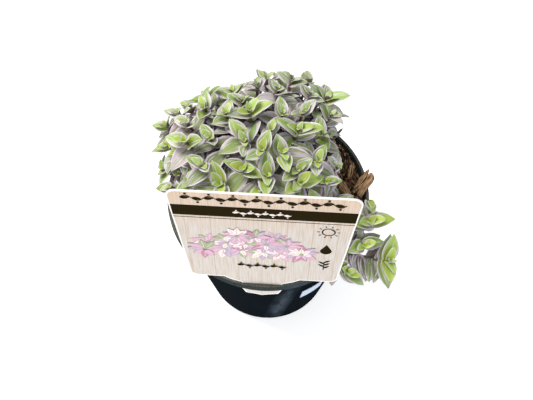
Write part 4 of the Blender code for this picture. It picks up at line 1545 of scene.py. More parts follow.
    def icon(self, kind: Icon, x: float, s: float) -> None:
        """Ink a care icon.

        Args:
            kind: Which icon.
            x: Its middle across the sheet.
            s: Height of its middle.
        """
        unit, wide = self.icon_unit, self.icon_line
        if kind is Icon.SUN:
            self.ring(x, s, 2.5 * unit, 0.55 * unit, Ink.DARK)
            for k in range(10):
                near, far = (self.arc(x, s, reach * unit, [pi * k / 5])[0] for reach in (3.4, 4.5))
                self.line(near, far, wide, Ink.DARK)
        elif kind is Icon.DROP:
            curve = self.arc(x, s - unit, 2.4 * unit, [radians(20 * k - 210) for k in range(13)])
            self.stamp([(x, s + 4.2 * unit)] + curve, Ink.DARK)
        else:
            self.line((x, s - 4.0 * unit), (x, s + 3.0 * unit), wide, Ink.DARK)
            for rise, side in self.sprig:
                self.leaf(x, s + rise * unit, 3.2 * unit, 1.2 * unit, pi / 2 - side * 0.9, Ink.DARK, Ink.DARK)

    def build(self, inks: Sequence[Material]) -> None:
        """Ink the whole front and make it one thin piece.

        Args:
            inks: Finish of each ink.
        """
        middle = LABEL.shift * 1000
        (low, half), (high, wider) = ((s, LABEL.half(at) * 1000 - self.side_gap) for s, at in self.band)
        left, right = middle - half, middle + half
        self.stamp([(left, low), (right, low), (middle + wider, high), (middle - wider, high)], Ink.DARK)
        rule, wide = self.rule
        self.line((left, rule), (right, rule), wide, Ink.DARK)
        self.garland(*self.top_garland)
        self.garland(*self.band_garland)
        self.bank()
        self.garland(*self.foot_garland)
        for kind, s in self.icons:
            self.icon(kind, self.icons_x, s)
        sheet = piece_from("plant_label_print", self.verts, self.faces)
        dress(sheet, *inks)
        for face, ink in zip(sheet.data.polygons, self.inks):
            face.material_index = ink
        with editing(sheet):
            bpy.ops.mesh.quads_convert_to_tris(ngon_method="BEAUTY")
        thicken(sheet, self.film, 1)
        place(sheet, "label_sheet")


@dataclass(frozen=True)
class WallSticker:
    """The blank sticker: paper that follows the pot's wall."""

    start: float = radians(-63)
    end: float = radians(-46)
    low: float = 0.057
    high: float = 0.074
    thick: float = 0.0004
    crease: float = 30

    def build(self, paper: Material) -> None:
        """Model the sticker on the wall.

        Args:
            paper: Its finish.
        """
        grid = bpy.ops.mesh.primitive_grid_add
        strip = begin(grid, "wall_sticker_paper", x_subdivisions=24, y_subdivisions=8, size=1)
        for vertex in strip.data.vertices:
            across, up = vertex.co.x + 0.5, vertex.co.y + 0.5
            angle = self.start + (self.end - self.start) * across
            height = self.low + (self.high - self.low) * up
            radius = POT.wall_radius(height) + GAP + self.thick / 2
            vertex.co = (*around(angle, radius), height)
        thicken(strip, self.thick, 0)
        dress(strip, paper)
        smooth(strip, self.crease)
        place(strip, "sticker_paper", "wall_sticker")


# The vine


@dataclass
class Blade:
    """One leaf blade: where it starts, where it points, which way its face looks, and its size."""

    base: Vector
    along: Vector
    face: Vector
    length: float
    width: float
    age: float = 0.5
    tone: float = 0.5

    def point(self, share: float, side: float, lift: float = 0.0) -> Vector:
        """Find a point of the blade.

        Args:
            share: From 0 at the root to 1 at the tip.
            side: From -1 to 1 across.
            lift: Distance off its middle.

        Returns:
            The point.
        """
        half = self.width / 2 * LEAF.outline(max(share, 0.0))
        across = self.face.cross(self.along)
        rise = LEAF.fold * half * abs(side) - LEAF.curl * self.length * share * share + lift
        return self.base + self.along * (self.length * share) + across * (half * side) + self.face * rise

    def lens(self, grow: float = 0.0) -> list[Vector]:
        """Model the plain blade, thick at its rib and closed at its edges and tip.

        Args:
            grow: Room that it takes round it.

        Returns:
            Its vertices, for LENS_FACES.
        """
        wide = Blade(self.base, self.along, self.face, self.length + grow, self.width + 2 * grow)
        half = LEAF.thick / 2 + grow
        verts = [wide.point(LEAF.root, 0)]
        for share in LEAF.stations:
            verts += [wide.point(share, -1), wide.point(share, 0, half)]
            verts += [wide.point(share, 1), wide.point(share, 0, -half)]
        verts.append(wide.point(1, 0))
        return verts


LENS_FACES = (
    (0, 1, 2), (0, 2, 3), (0, 3, 4), (0, 4, 1),
    (1, 5, 6), (1, 6, 2), (2, 6, 3), (6, 7, 3), (3, 7, 8), (3, 8, 4), (4, 8, 1), (8, 5, 1),
    (5, 9, 6), (6, 9, 7), (7, 9, 8), (8, 9, 5),
)


@dataclass(frozen=True)
class Tier:
    """A pair of leaves on a shoot: depth under its tip, splay from its axis, turn, size and age."""

    below: float
    splay: float
    turn: float
    size: float
    age: float


@dataclass
class Shoot:
    """A leafy shoot: its tip, the way it grows, the heading of its main leaf pair and its size.

    Once its stem has a route, it also knows its spray and its number there.
    """

    tip: Vector
    axis: Vector
    heading: float
    size: float
    route: list = field(default_factory=list)
    blades: list = field(default_factory=list)
    tiers: tuple = ()
    spray: int = 0
    number: int = 0


def tiers(*rows: tuple[float, float, float, float, float]) -> tuple[Tier, ...]:
    """Make tiers of rows: depth in metres, splay and turn in degrees, size and age."""
    return tuple(Tier(row[0], radians(row[1]), radians(row[2]), *row[3:]) for row in rows)


MAIN_TIERS = tiers((0.0022, 52, 0, 1.00, 0.30), (0.0076, 76, 64, 1.25, 0.62))
TRAILING_TIERS = tiers(
    (0.0020, 50, 0, 1.00, 0.25), (0.0065, 62, 8, 1.00, 0.50), (0.0120, 62, -6, 0.95, 0.70),
    (0.0175, 62, 5, 0.90, 0.85),
)
INNER_TIERS = tiers((-0.0004, 42, 10, 0.62, 0.06), (-0.0014, 26, 80, 0.36, 0.0))
BUD_TIERS = tiers((0.0006, 40, 90, 0.48, 0.15), (0.0034, 60, 0, 0.50, 0.45), (0.0064, 66, 90, 0.50, 0.60))
# The lower pairs sit deepest in the canopy; their high ages darken them with withering and painted shade.
LOWER_TIERS = tiers(
    (0.0128, 78, 118, 1.05, 0.72), (0.0176, 78, 30, 0.95, 0.82), (0.0236, 78, 95, 1.00, 0.90),
    (0.0305, 78, 150, 1.00, 0.97), (0.0385, 78, 50, 1.00, 1.00), (0.0470, 78, 10, 1.00, 1.00),
)
# Pairs set crosswise between the others on a trailing stem
TRAILING_PAIRS = tiers(
    (0.0100, 68, 96, 0.70, 0.60), (0.0148, 68, 80, 0.85, 0.75), (0.0202, 68, 94, 0.95, 0.85),
    (0.0255, 68, 84, 1.00, 0.85), (0.0310, 68, 98, 1.00, 0.90), (0.0370, 68, 82, 1.00, 0.95),
)

# Trailing stems over the rim at the right front: route in millimetres, leaf pair heading, size
TRAILING_STEMS = (
    ("trailing_stem_1", ((41, -14, 110), (52, -18, 119), (60, -21, 120), (63, -24, 129)), 5, 1.30),
    ("trailing_stem_2", ((38, -24, 110), (49, -30, 118), (57, -34, 118), (60, -38, 125)), 20, 1.05),
    ("trailing_stem_3", ((32, -34, 110), (44, -40, 118), (58, -42, 118), (70, -45, 118), (74, -48, 126)),
     95, 1.25),
    ("trailing_stem_4", ((24, -41, 110), (35, -46, 118), (45, -51, 117), (50, -55, 123)), -35, 1.10),
    ("trailing_stem_5", ((41, -4, 110), (51, -8, 119), (60, -10, 122), (63, -11, 131)), -75, 0.95),
)

# Shoots that lead the mound: bearing, lean, heading of the leaf pair (degrees) and size
LEADING_SHOOTS = (
    (120, 20, 22, 1.25), (185, 12, 124, 1.15), (182, 44, 168, 1.15), (180, 31, 127, 0.90),
    (148, 42, 89, 1.05), (205, 53, 35, 0.95), (206, 38, 146, 0.95), (229, 38, 107, 1.20),
    (244, 23, 159, 1.10), (203, 12, 100, 0.95), (166, 45, 150, 0.90), (82, 36, 128, 0.90),
    (44, 29, 45, 0.95), (33, 46, -28, 0.95), (18, 20, -7, 1.25), (264, 11, 64, 1.05),
    (314, 15, -70, 1.10), (340, 32, 80, 1.00), (316, 27, 37, 0.95), (276, 24, 85, 1.15),
    (309, 33, 36, 1.15), (330, 43, 10, 0.90), (75, 48, 160, 0.95), (48, 52, -10, 1.30),
    (100, 44, 60, 0.90), (172, 66, 190, 1.00), (158, 72, 165, 1.05), (144, 64, 130, 1.00),
    (194, 74, 178, 0.95),
)


@dataclass(frozen=True)
class Dome:
    """The dome that the shoot tips reach, with lobes at the rear right and the left, and hollows."""

    centre: tuple = (-0.0025, 0.0062, 0.113)
    side: float = 0.0615
    left: float = 0.0040
    rise: float = 0.0590
    power: float = 2.6
    turn_up: float = 0.62
    swells: tuple = (
        (radians(70), radians(23), 0.0085),
        (radians(10), radians(19), -0.0175),
        (radians(222), radians(24), -0.0150),
        (radians(318), radians(24), -0.0100),
        (radians(116), radians(16), -0.0060),
        (radians(154), radians(16), 0.0070),
    )

    def point(self, bearing: float, lean: float) -> Vector:
        """Find a point on the dome.

        Args:
            bearing: Its bearing round the pot.
            lean: Its lean from upright.

        Returns:
            The point.
        """
        side = self.side + self.left * (1 - cos(bearing)) / 2
        for centre, spread, depth in self.swells:
            apart = (bearing - centre + pi) % (2 * pi) - pi
            side += depth * exp(-((apart / spread) ** 2))
        flat = (sin(lean) / side) ** self.power
        upright = (abs(cos(lean)) / self.rise) ** self.power
        reach = (flat + upright) ** (-1 / self.power)
        out = Vector((*around(bearing), 0))
        return Vector(self.centre) + out * (reach * sin(lean)) + Vector((0, 0, reach * cos(lean)))

    def axis(self, bearing: float, lean: float) -> Vector:
        """Find the way that a shoot grows there: outwards, turning up towards the light."""
        tilt = self.turn_up * lean
        return (Vector((*around(bearing), 0)) * sin(tilt) + Vector((0, 0, cos(tilt)))).normalized()


def prism(centre: Sequence[float], radius: float, low: float, high: float, sides: int) -> tuple[list, list]:
    """Make an upright prism.

    Args:
        centre: Place of its axis.
        radius: Its radius.
        low: Height of its foot.
        high: Height of its top.
        sides: Number of its sides.

    Returns:
        Vertices and faces.
    """
    ring = [around(2 * pi * step / sides, radius) for step in range(sides)]
    verts = [Vector((centre[0] + x, centre[1] + y, height)) for height in (low, high) for x, y in ring]
    faces = [tuple(range(sides)), tuple(range(sides, 2 * sides))]
    for step in range(sides):
        after = (step + 1) % sides
        faces.append((step, after, sides + after, sides + step))
    return verts, faces


def stem_tube(route: Sequence[Vector], radius: float, bud: float, sides: int) -> tuple[list, list]:
    """Make a slim stem along a route.

    Args:
        route: Points from foot to tip.
        radius: Radius of the stem.
        bud: Length of the pointed bud past its end.
        sides: Sides of the tube.

    Returns:
        Vertices and faces, closed at both ends.
    """
    verts, faces = [], []
    side = Vector((1, 0, 0))
    for index, point in enumerate(route):
        before, after = route[max(index - 1, 0)], route[min(index + 1, len(route) - 1)]
        ahead = (after - before).normalized()
        side = (side - ahead * side.dot(ahead)).normalized()
        across = ahead.cross(side)
        for step in range(sides):
            near, far = around(2 * pi * step / sides, radius)
            verts.append(point + side * near + across * far)
    for ring in range(len(route) - 1):
        for step in range(sides):
            near, after = ring * sides, (step + 1) % sides
            faces.append((near + step, near + after, near + sides + after))
            faces.append((near + step, near + sides + after, near + sides + step))
    faces.append(tuple(reversed(range(sides))))
    last = (len(route) - 1) * sides
    verts.append(route[-1] + (route[-1] - route[-2]).normalized() * bud)
    for step in range(sides):
        faces.append((last + step, last + (step + 1) % sides, len(verts) - 1))
    return verts, faces


class Crowd:
    """Pieces of the plant placed so far, asked whether a new piece would cross one."""

    def __init__(self, most: int = 6000) -> None:
        """Start empty.

        Args:
            most: Number of pieces that it has room for.
        """
        self.middles = np.zeros((most, 3))
        self.reaches = np.zeros(most)
        self.owners = np.zeros((most, 2), dtype=int)
        self.trees: list[BVHTree] = []

    def measure(self, verts: Sequence[Vector]) -> tuple[Vector, float]:
        """Middle of a piece and its reach from there."""
        middle = sum(verts, Vector()) / len(verts)
        return middle, max((v - middle).length for v in verts)

    def add(self, verts: Sequence[Vector], faces: Sequence, spray: int, number: int) -> None:
        """Keep a piece.

        Args:
            verts: Its vertices.
            faces: Its faces.
            spray: Number of its spray.
            number: Number of its shoot there, or -1 for the stock.
        """
        index = len(self.trees)
        middle, self.reaches[index] = self.measure(verts)
        self.middles[index] = middle
        self.owners[index] = (spray, number)
        self.trees.append(BVHTree.FromPolygons([tuple(v) for v in verts], faces))

    def crosses(self, verts: Sequence, faces: Sequence, spray: int, number: int | None = None) -> bool:
        """Tell whether a piece crosses one of another spray or, given a number, of another shoot.

        Args:
            verts: Its vertices.
            faces: Its faces.
            spray: Number of its spray.
            number: Number of its shoot there, to look at the spray's other shoots too.

        Returns:
            True if it crosses one.
        """
        middle, reach = self.measure(verts)
        count = len(self.trees)
        apart = np.linalg.norm(self.middles[:count] - np.array(middle), axis=1)
        near = apart < reach + self.reaches[:count]
        own = self.owners[:count, 0] == spray
        if number is not None:
            own &= self.owners[:count, 1] == number
        tree = BVHTree.FromPolygons([tuple(v) for v in verts], faces)
        return any(tree.overlap(self.trees[k]) for k in np.nonzero(near & ~own)[0])


@dataclass
class Vine:
    """The vine: sprays of shoots that each rise from a foot in the mix, and trailing stems."""

    seed: int = 31
    shoots_wanted: int = 70
    candidates: int = 40
    least_spacing: float = 0.0110
    lowest_lean: float = radians(88)
    shoot_sizes: tuple = (0.86, 1.10)
    tip_shift: tuple = (-0.0025, 0.0015)
    tip_room: float = 0.0025
    sprays: int = 26
    gather_rounds: int = 6
    foot_share: float = 0.58
    foot_reach: float = 0.047
    foot_push: float = 0.0012
    foot_rounds: int = 60
    vigour: float = 0.6
    rear_wear: float = 1.5
    young: float = 0.1
    turned_age: float = 0.55
    to_viewer: tuple = (0.10, -1.10, 1.40)
    bare: int = 5
    extra_shoots: int = 60
    extra_tries: int = 1500
    extra_sizes: tuple = (0.82, 1.02)
    extra_spacing: float = 0.0088
    extra_depth: tuple = (0.0020, 0.0130)
    dome: Dome = field(default_factory=Dome)
    crowd: Crowd = field(default_factory=Crowd)

    def has_room(self, tip: Vector, axis: Vector) -> bool:
        """Tell whether a shoot can end here: its tip and the straight stem under it are clear."""
        backs = 0.0, STEM.neck / 2, STEM.neck
        return all(ROOM.is_clear(tip - axis * back, self.tip_room) for back in backs)

    def place_shoots(self, rng: Random) -> list[Shoot]:
        """Place the leading shoots, then each next one where most room is left.

        Args:
            rng: Source of the places.

        Returns:
            The shoots, without stems so far.
        """
        shoots = []
        for bearing, lean, heading, size in LEADING_SHOOTS:
            spot = radians(bearing), radians(lean)
            shoots.append(Shoot(self.dome.point(*spot), self.dome.axis(*spot), radians(heading), size))
        taken = [shoot.tip for shoot in shoots]
        taken += [Vector(route[-1]) / 1000 for _, route, _, _ in TRAILING_STEMS]
        while len(shoots) < self.shoots_wanted:
            places = []
            while len(places) < self.candidates:
                bearing = rng.uniform(0, 2 * pi)
                lean = acos(rng.uniform(cos(self.lowest_lean), 1.0))
                tip, axis = self.dome.point(bearing, lean), self.dome.axis(bearing, lean)
                if self.has_room(tip, axis):
                    places.append((min((tip - other).length for other in taken), bearing, tip, axis))
            room, bearing, tip, axis = max(places, key=lambda spot: spot[0])
            if room < self.least_spacing:
                break
            shoots.append(Shoot(tip, axis, rng.uniform(0, pi), rng.uniform(*self.shoot_sizes)))
            taken.append(tip)
        for shoot in shoots:
            shoot.tip = shoot.tip + shoot.axis * rng.uniform(*self.tip_shift)
            shoot.tiers = MAIN_TIERS
        return shoots

    def gather(self, shoots: list[Shoot]) -> list[list[Shoot]]:
        """Gather shoots in sprays of near neighbours, each round its own middle.

        Args:
            shoots: All shoots of the mound.

        Returns:
            The shoots of each spray.
        """
        middles = [shoots[0].tip]
        while len(middles) < self.sprays:
            tips = (shoot.tip for shoot in shoots)
            middles.append(max(tips, key=lambda tip: min((tip - m).length for m in middles)))
        groups: list[list[Shoot]] = []
        for _ in range(self.gather_rounds):
            groups = [[] for _ in middles]
            for shoot in shoots:
                nearest = min(range(len(middles)), key=lambda k: (shoot.tip - middles[k]).length)
                groups[nearest].append(shoot)
            middles = [sum((s.tip for s in group), Vector()) / len(group) if group else m
                       for group, m in zip(groups, middles)]
        return [group for group in groups if group]

    def foot_of(self, group: list[Shoot], feet: list[Vector]) -> Vector:
        """Find a spray's foot in the mix, under its shoots and clear of the other feet.

        Args:
            group: Shoots of the spray.
            feet: Feet so far.

        Returns:
            Place of the foot.
        """
        middle = sum((s.tip for s in group), Vector()) / len(group)
        foot = Vector((middle.x, middle.y)) * self.foot_share
        if foot.length > self.foot_reach:
            foot = foot.normalized() * self.foot_reach
        for _ in range(self.foot_rounds):
            close = [foot - other for other in feet if (foot - other).length < 3 * MIX.foot_hole]
            if not close:
                break
            foot = foot + sum(close, Vector((GAP, GAP))).normalized() * self.foot_push
        return foot

    def crown_top(self, foot: Vector) -> float:
        """Top of a spray's stock, just over the mix round it."""
        return MIX.height(foot.x, foot.y) + STEM.crown_rise

    def crown(self, foot: Vector, sides: int = STEM.crown_sides) -> tuple[list, list]:
        """Short stock that a spray's stems rise from, sunk in the mix."""
        return prism(foot, STEM.crown_radius, MIX.foot_hole_low + GAP, self.crown_top(foot), sides)

    def route(self, foot: Vector, shoot: Shoot, rank: int, bend: Vector) -> list[Vector]:
        """Lay a stem from its foot to its tip.

        Args:
            foot: Foot of the spray.
            shoot: Shoot that the stem carries.
            rank: Number of stems that the spray already has.
            bend: Sideways bend of its middle.

        Returns:
            Four points: it rises, leans out and ends straight along the shoot.
        """
        start = Vector((foot.x, foot.y, self.crown_top(foot) - STEM.sunk - STEM.stagger * rank))
        neck = shoot.tip - shoot.axis * STEM.neck
        rise = Vector((foot.x, foot.y, start.z + STEM.rise[0] * (neck.z - start.z) + STEM.rise[1]))
        middle = rise + (start + neck - 2 * rise) * STEM.spread + bend
        return [start, middle, neck, shoot.tip]

    def bends(self) -> Iterator[Vector]:
        """Go through the sideways bends that a stem tries.

        Yields:
            Each bend, the smallest first.
        """
        yield Vector((0, 0, 0))
        for reach in STEM.bends:
            for step in range(STEM.bend_ways):
                yield Vector((*around(2 * pi * step / STEM.bend_ways, reach), 0.0))

    def lay_stem(self, shoot: Shoot, foot: Vector, spray: int, number: int) -> bool:
        """Give a shoot a stem that keeps clear of the stems of other sprays.

        Args:
            shoot: Shoot that the stem carries.
            foot: Foot of its spray.
            spray: Number of the spray.
            number: Number of the shoot in its spray.

        Returns:
            True if there was room for one.
        """
        for bend in self.bends():
            route = self.route(foot, shoot, number, bend)
            fat = stem_tube(route, STEM.radius + GAP, STEM.bud, STEM.sides)
            samples = [route[1], route[2], route[3], (route[1] + route[2]) / 2]
            if all(ROOM.is_clear(p, STEM.radius) for p in samples) and not self.crowd.crosses(*fat, spray):
                shoot.route, shoot.spray, shoot.number = route, spray, number
                self.crowd.add(*stem_tube(route, STEM.radius, STEM.bud, STEM.sides), spray, number)
                return True
        return False

    def grow_stems(self, groups: list[list[Shoot]], feet: list[Vector]) -> None:
        """Give each shoot its stem, and drop the shoots that have no room for one.

        Args:
            groups: Shoots of each spray.
            feet: Foot of each spray.
        """
        for spray, (group, foot) in enumerate(zip(groups, feet)):
            kept: list[Shoot] = []
            for shoot in group:
                if self.lay_stem(shoot, foot, spray, len(kept)):
                    kept.append(shoot)
            group[:] = kept

    def add_shoots(self, groups: list[list[Shoot]], feet: list[Vector], rng: Random) -> None:
        """Add shoots a little under the dome, where the others leave room.

        Args:
            groups: Shoots of each spray.
            feet: Foot of each spray.
            rng: Source of their places.
        """
        trails = len(TRAILING_STEMS)
        tips = [shoot.tip for group in groups for shoot in group]
        most = len(tips) + self.extra_shoots
        for _ in range(self.extra_tries):
            bearing = rng.uniform(0, 2 * pi)
            lean = acos(rng.uniform(cos(self.lowest_lean), 1.0))
            axis = self.dome.axis(bearing, lean)
            tip = self.dome.point(bearing, lean) - axis * rng.uniform(*self.extra_depth)
            close = min((tip - other).length for other in tips) < self.extra_spacing
            if close or not self.has_room(tip, axis):
                continue
            spray = min(range(trails, len(groups)),
                        key=lambda k: min((tip - shoot.tip).length for shoot in groups[k]))
            shoot = Shoot(tip, axis, rng.uniform(0, pi), rng.uniform(*self.extra_sizes), tiers=MAIN_TIERS)
            if self.lay_stem(shoot, feet[spray], spray, len(groups[spray])):
                groups[spray].append(shoot)
                tips.append(tip)
                for tier in MAIN_TIERS:
                    self.grow_pair(shoot, tier, rng)
            if len(tips) == most:
                break

    def grow_leaves(self, groups: list[list[Shoot]], rng: Random) -> None:
        """Grow leaves tier by tier, so that the pairs at the tips find room first.

        Args:
            groups: Shoots of each spray.
            rng: Source of their small differences.
        """
        shoots = [shoot for group in groups for shoot in group]
        for level in range(max(len(shoot.tiers) for shoot in shoots)):
            for shoot in shoots:
                if level < len(shoot.tiers):
                    self.grow_pair(shoot, shoot.tiers[level], rng)

    def grow_pair(self, shoot: Shoot, tier: Tier, rng: Random) -> None:
        """Grow the two leaves of one tier.

        Args:
            shoot: Shoot that carries them.
            tier: Their place and form.
            rng: Source of their small differences.
        """
        for half in (0, 1):
            heading = shoot.heading + tier.turn + pi * half + rng.uniform(*LEAF.turns)
            splay = tier.splay + rng.uniform(*LEAF.splays)
            size = shoot.size * tier.size * rng.uniform(*LEAF.sizes)
            self.place_leaf(shoot, tier.below + LEAF.step * half, splay, heading, size, tier.age)

    def tries(self) -> Iterator[tuple[float, float, float]]:
        """Go through the changes that a leaf tries when it has no room: splay, turn and size."""
        for size, splay, turn in product(LEAF.smaller, LEAF.more_splay, LEAF.more_turn):
            yield radians(splay), radians(turn), size

    def fits(self, blade: Blade, shoot: Shoot) -> bool:
        """Tell whether a leaf has room.

        Args:
            blade: The leaf.
            shoot: Shoot that carries it.

        Returns:
            True if it keeps clear of the pot, the mix, the label, the bark and other shoots.
        """
        probes = [blade.point(share, side) for share in LEAF.probes for side in (-1, 0, 1)]
        if not all(ROOM.is_clear(p, LEAF.thick) for p in probes):
            return False
        return not self.crowd.crosses(blade.lens(GAP), LENS_FACES, shoot.spray, shoot.number)

    def place_leaf(self, shoot: Shoot, below: float, splay: float, heading: float, size: float,
                   age: float) -> None:
        """Put one leaf on its shoot, in the first try that has room for it.

        Args:
            shoot: Shoot that carries it.
            below: Depth under the shoot's tip.
            splay: Angle from the stem.
            heading: Bearing that it points along.
            size: Size against a leaf of size 1.
            age: Its age, from 0 to 1, on a full-size shoot at the front.
        """
        for more_splay, more_turn, smaller in self.tries():
            blade = self.blade(shoot, below, splay + more_splay, heading + more_turn, size * smaller)
            if self.fits(blade, shoot):
                wear = self.vigour * (1.0 - shoot.size) + self.rear_wear * max(blade.base.y, 0.0)
                blade.age = min(max(age + wear, 0.0), 1.0)
                counts = shoot.spray, shoot.number, len(shoot.blades)
                blade.tone = sum(count * step for count, step in zip(counts, LEAF.tone_steps)) % 1.0
                shoot.blades.append(blade)
                self.crowd.add(blade.lens(), LENS_FACES, shoot.spray, shoot.number)
                return

    def stem_place(self, route: Sequence[Vector], below: float) -> tuple[Vector, Vector]:
        """Find a place on a stem.

        Args:
            route: Points of the stem.
            below: Distance back from its tip.

        Returns:
            The point and the stem's direction there.
        """
        ahead = (route[-1] - route[-2]).normalized()
        near = route[0]
        if below < 0:
            return route[-1] - ahead * below, ahead
        for near, far in zip(route[-2::-1], route[:0:-1]):
            span = (far - near).length
            ahead = (far - near) / span
            if below <= span:
                return far - ahead * below, ahead
            below -= span
        return near, ahead

    def blade(self, shoot: Shoot, below: float, splay: float, heading: float, size: float) -> Blade:
        """Shape a leaf blade on a shoot.

        Args:
            shoot: Shoot that carries it.
            below: Depth under the shoot's tip.
            splay: Angle from the stem.
            heading: Bearing that it points along.
            size: Size against a leaf of size 1.

        Returns:
            The blade, its face turned towards the light.
        """
        base, axis = self.stem_place(shoot.route, below)
        flat = Vector((cos(heading), sin(heading), 0))
        radial = (flat - axis * flat.dot(axis)).normalized()
        along = axis * cos(splay) + radial * sin(splay)
        light = axis + Vector((0, 0, LEAF.to_light))
        face = (light - along * light.dot(along)).normalized()
        return Blade(base, along, face, LEAF.length * size, LEAF.width * size)

    def trails(self) -> list[list[Shoot]]:
        """Lay the stems that come over the rim.

        Returns:
            A spray of one shoot for each.
        """
        found = []
        for spray, (_, route, heading, size) in enumerate(TRAILING_STEMS):
            points = [Vector(point) / 1000 for point in route]
            axis = (points[-1] - points[-2]).normalized()
            stem = Shoot(points[-1], axis, radians(heading), size, points, tiers=TRAILING_TIERS, spray=spray)
            found.append([stem])
        return found

    def fill_in(self, groups: list[list[Shoot]], rng: Random) -> None:
        """Add the young leaves at each tip, then older leaves lower down where there is room.

        Args:
            groups: Shoots of each spray, the trailing stems first.
            rng: Source of their small differences.
        """
        shoots = [shoot for group in groups for shoot in group]
        for tier in INNER_TIERS + LOWER_TIERS:
            for shoot in shoots:
                if tier.age >= shoot.tiers[-1].age or tier.age < self.young:
                    self.grow_pair(shoot, tier, rng)
        for shoot in shoots:
            if len(shoot.blades) < self.bare:
                for tier in BUD_TIERS:
                    self.grow_pair(shoot, tier, rng)
        for tier in TRAILING_PAIRS:
            for shoot in shoots[: len(TRAILING_STEMS)]:
                self.grow_pair(shoot, tier, rng)

    def turn_out(self, trails: list[list[Shoot]]) -> None:
        """Turn the older leaves of the trailing stems to the front, where they have room.

        Args:
            trails: The trailing stems, a spray each.
        """
        leaves = ((blade, shoot) for (shoot,) in trails for blade in shoot.blades)
        for blade, shoot in [pair for pair in leaves if pair[0].age >= self.turned_age]:
            straight = blade.face
            out = straight + Vector(self.to_viewer)
            blade.face = (out - blade.along * out.dot(blade.along)).normalized()
            if self.fits(blade, shoot):
                self.crowd.add(blade.lens(), LENS_FACES, shoot.spray, shoot.number)
            else:
                blade.face = straight

    def grow(self) -> list[tuple[str, list[Shoot], Vector]]:
        """Grow the whole vine.

        Returns:
            Name, shoots and foot of each spray.
        """
        rng = Random(self.seed)
        sprays = self.gather(self.place_shoots(rng))
        trails = self.trails()
        groups = trails + sprays
        feet = [group[0].route[0].to_2d() for group in trails]
        for group in sprays:
            feet.append(self.foot_of(group, feet))
        for spray, foot in enumerate(feet):
            self.crowd.add(*self.crown(foot), spray, -1)
        for (stem,) in trails:
            self.crowd.add(*stem_tube(stem.route, STEM.radius, STEM.bud, STEM.sides), stem.spray, stem.number)
        self.grow_stems([[] for _ in trails] + sprays, feet)
        self.grow_leaves(groups, rng)
        LOG.info("plain leaves: %d", sum(len(s.blades) for g in groups for s in g))
        more = Random(self.seed + 1)
        self.add_shoots(groups, feet, more)
        LOG.info("shoots: %d", sum(len(group) for group in groups))
        self.fill_in(groups, more)
        self.turn_out(trails)
        LOG.info("all leaves: %d", sum(len(s.blades) for g in groups for s in g))
        names = [name for name, _, _, _ in TRAILING_STEMS]
        names += [f"leafy_spray_{number + 1:02d}" for number in range(self.sprays)]
        return list(zip(names, groups, feet))


class LeafBlank:
    """The blank that every leaf is bent from: a flattened ball whose poles are root and tip."""

    SHARES = (0.0, 0.17, 0.37, 0.57, 0.76, 0.91)
    SEGMENTS = 8
    POLE = 0.0001
    FULLER = 0.5
    CUP = (0.75, 0.25)
    ROLL, ROLL_PACE = 0.22, 37
    WAVE, WAVE_PACE, WAVE_START = 0.00045, 7.0, 9.0

    def __init__(self) -> None:
        """Model the blank once and read its share, side and thickness at each vertex."""
        rings = len(self.SHARES) + 1
        ball = begin(bpy.ops.mesh.primitive_uv_sphere_add, "ball", segments=self.SEGMENTS, ring_count=rings,
                     radius=1)
        shares, sides, lifts = [], [], []
        for vertex in ball.data.vertices:
            ring = round(acos(max(-1.0, min(1.0, -vertex.co.z))) / pi * rings)
            girth = hypot(vertex.co.x, vertex.co.y)
            pole = girth < self.POLE
            shares.append(LEAF.root if ring == 0 else 1.0 if ring == rings else self.SHARES[ring - 1])
            sides.append(0.0 if pole else vertex.co.x / girth)
            lifts.append(0.0 if pole else vertex.co.y / girth)
        self.faces = [tuple(face.vertices) for face in ball.data.polygons]
        upper = [sum(lifts[k] for k in face) > 0 for face in self.faces]
        self.skins = [int(Skin.UPPER if is_upper else Skin.UNDER) for is_upper in upper]
        bpy.data.objects.remove(ball, do_unlink=True)
        self.share, self.side, self.lift = (np.array(row) for row in (shares, sides, lifts))
        fuller = 1 + self.FULLER * np.clip((self.share - LEAF.stations[1]) / (1 - LEAF.stations[1]), 0, 1)
        self.half = fuller * np.array([LEAF.outline(max(s, 0.0)) for s in shares])
        self.spots = list(zip((0.5 + self.side / 2).tolist(), np.clip(self.share, 0, 1).tolist()))

    def bend(self, blade: Blade) -> np.ndarray:
        """Bend the blank to one blade.

        Args:
            blade: Blade to follow.

        Returns:
            Place of each vertex.
        """
        half = blade.width / 2 * self.half
        roll = self.ROLL * sin(self.ROLL_PACE * blade.tone)
        straight, bowed = self.CUP
        cup = half * (LEAF.fold * (straight * np.abs(self.side) + bowed * self.side**2) + roll * self.side)
        droop = LEAF.curl * blade.length * self.share**2
        swing = np.sin(self.WAVE_PACE * self.share + self.WAVE_START * blade.tone)
        wave = self.WAVE * swing * self.side * np.abs(self.side)
        body = LEAF.thick / 2 * self.lift * np.where(self.half > 0, 1.0, 0.0)
        rise = cup - droop + wave + body
        across = blade.face.cross(blade.along)
        return (
            np.array(blade.base)
            + np.outer(blade.length * self.share, np.array(blade.along))
            + np.outer(half * self.side, np.array(across))
            + np.outer(rise, np.array(blade.face))
        )


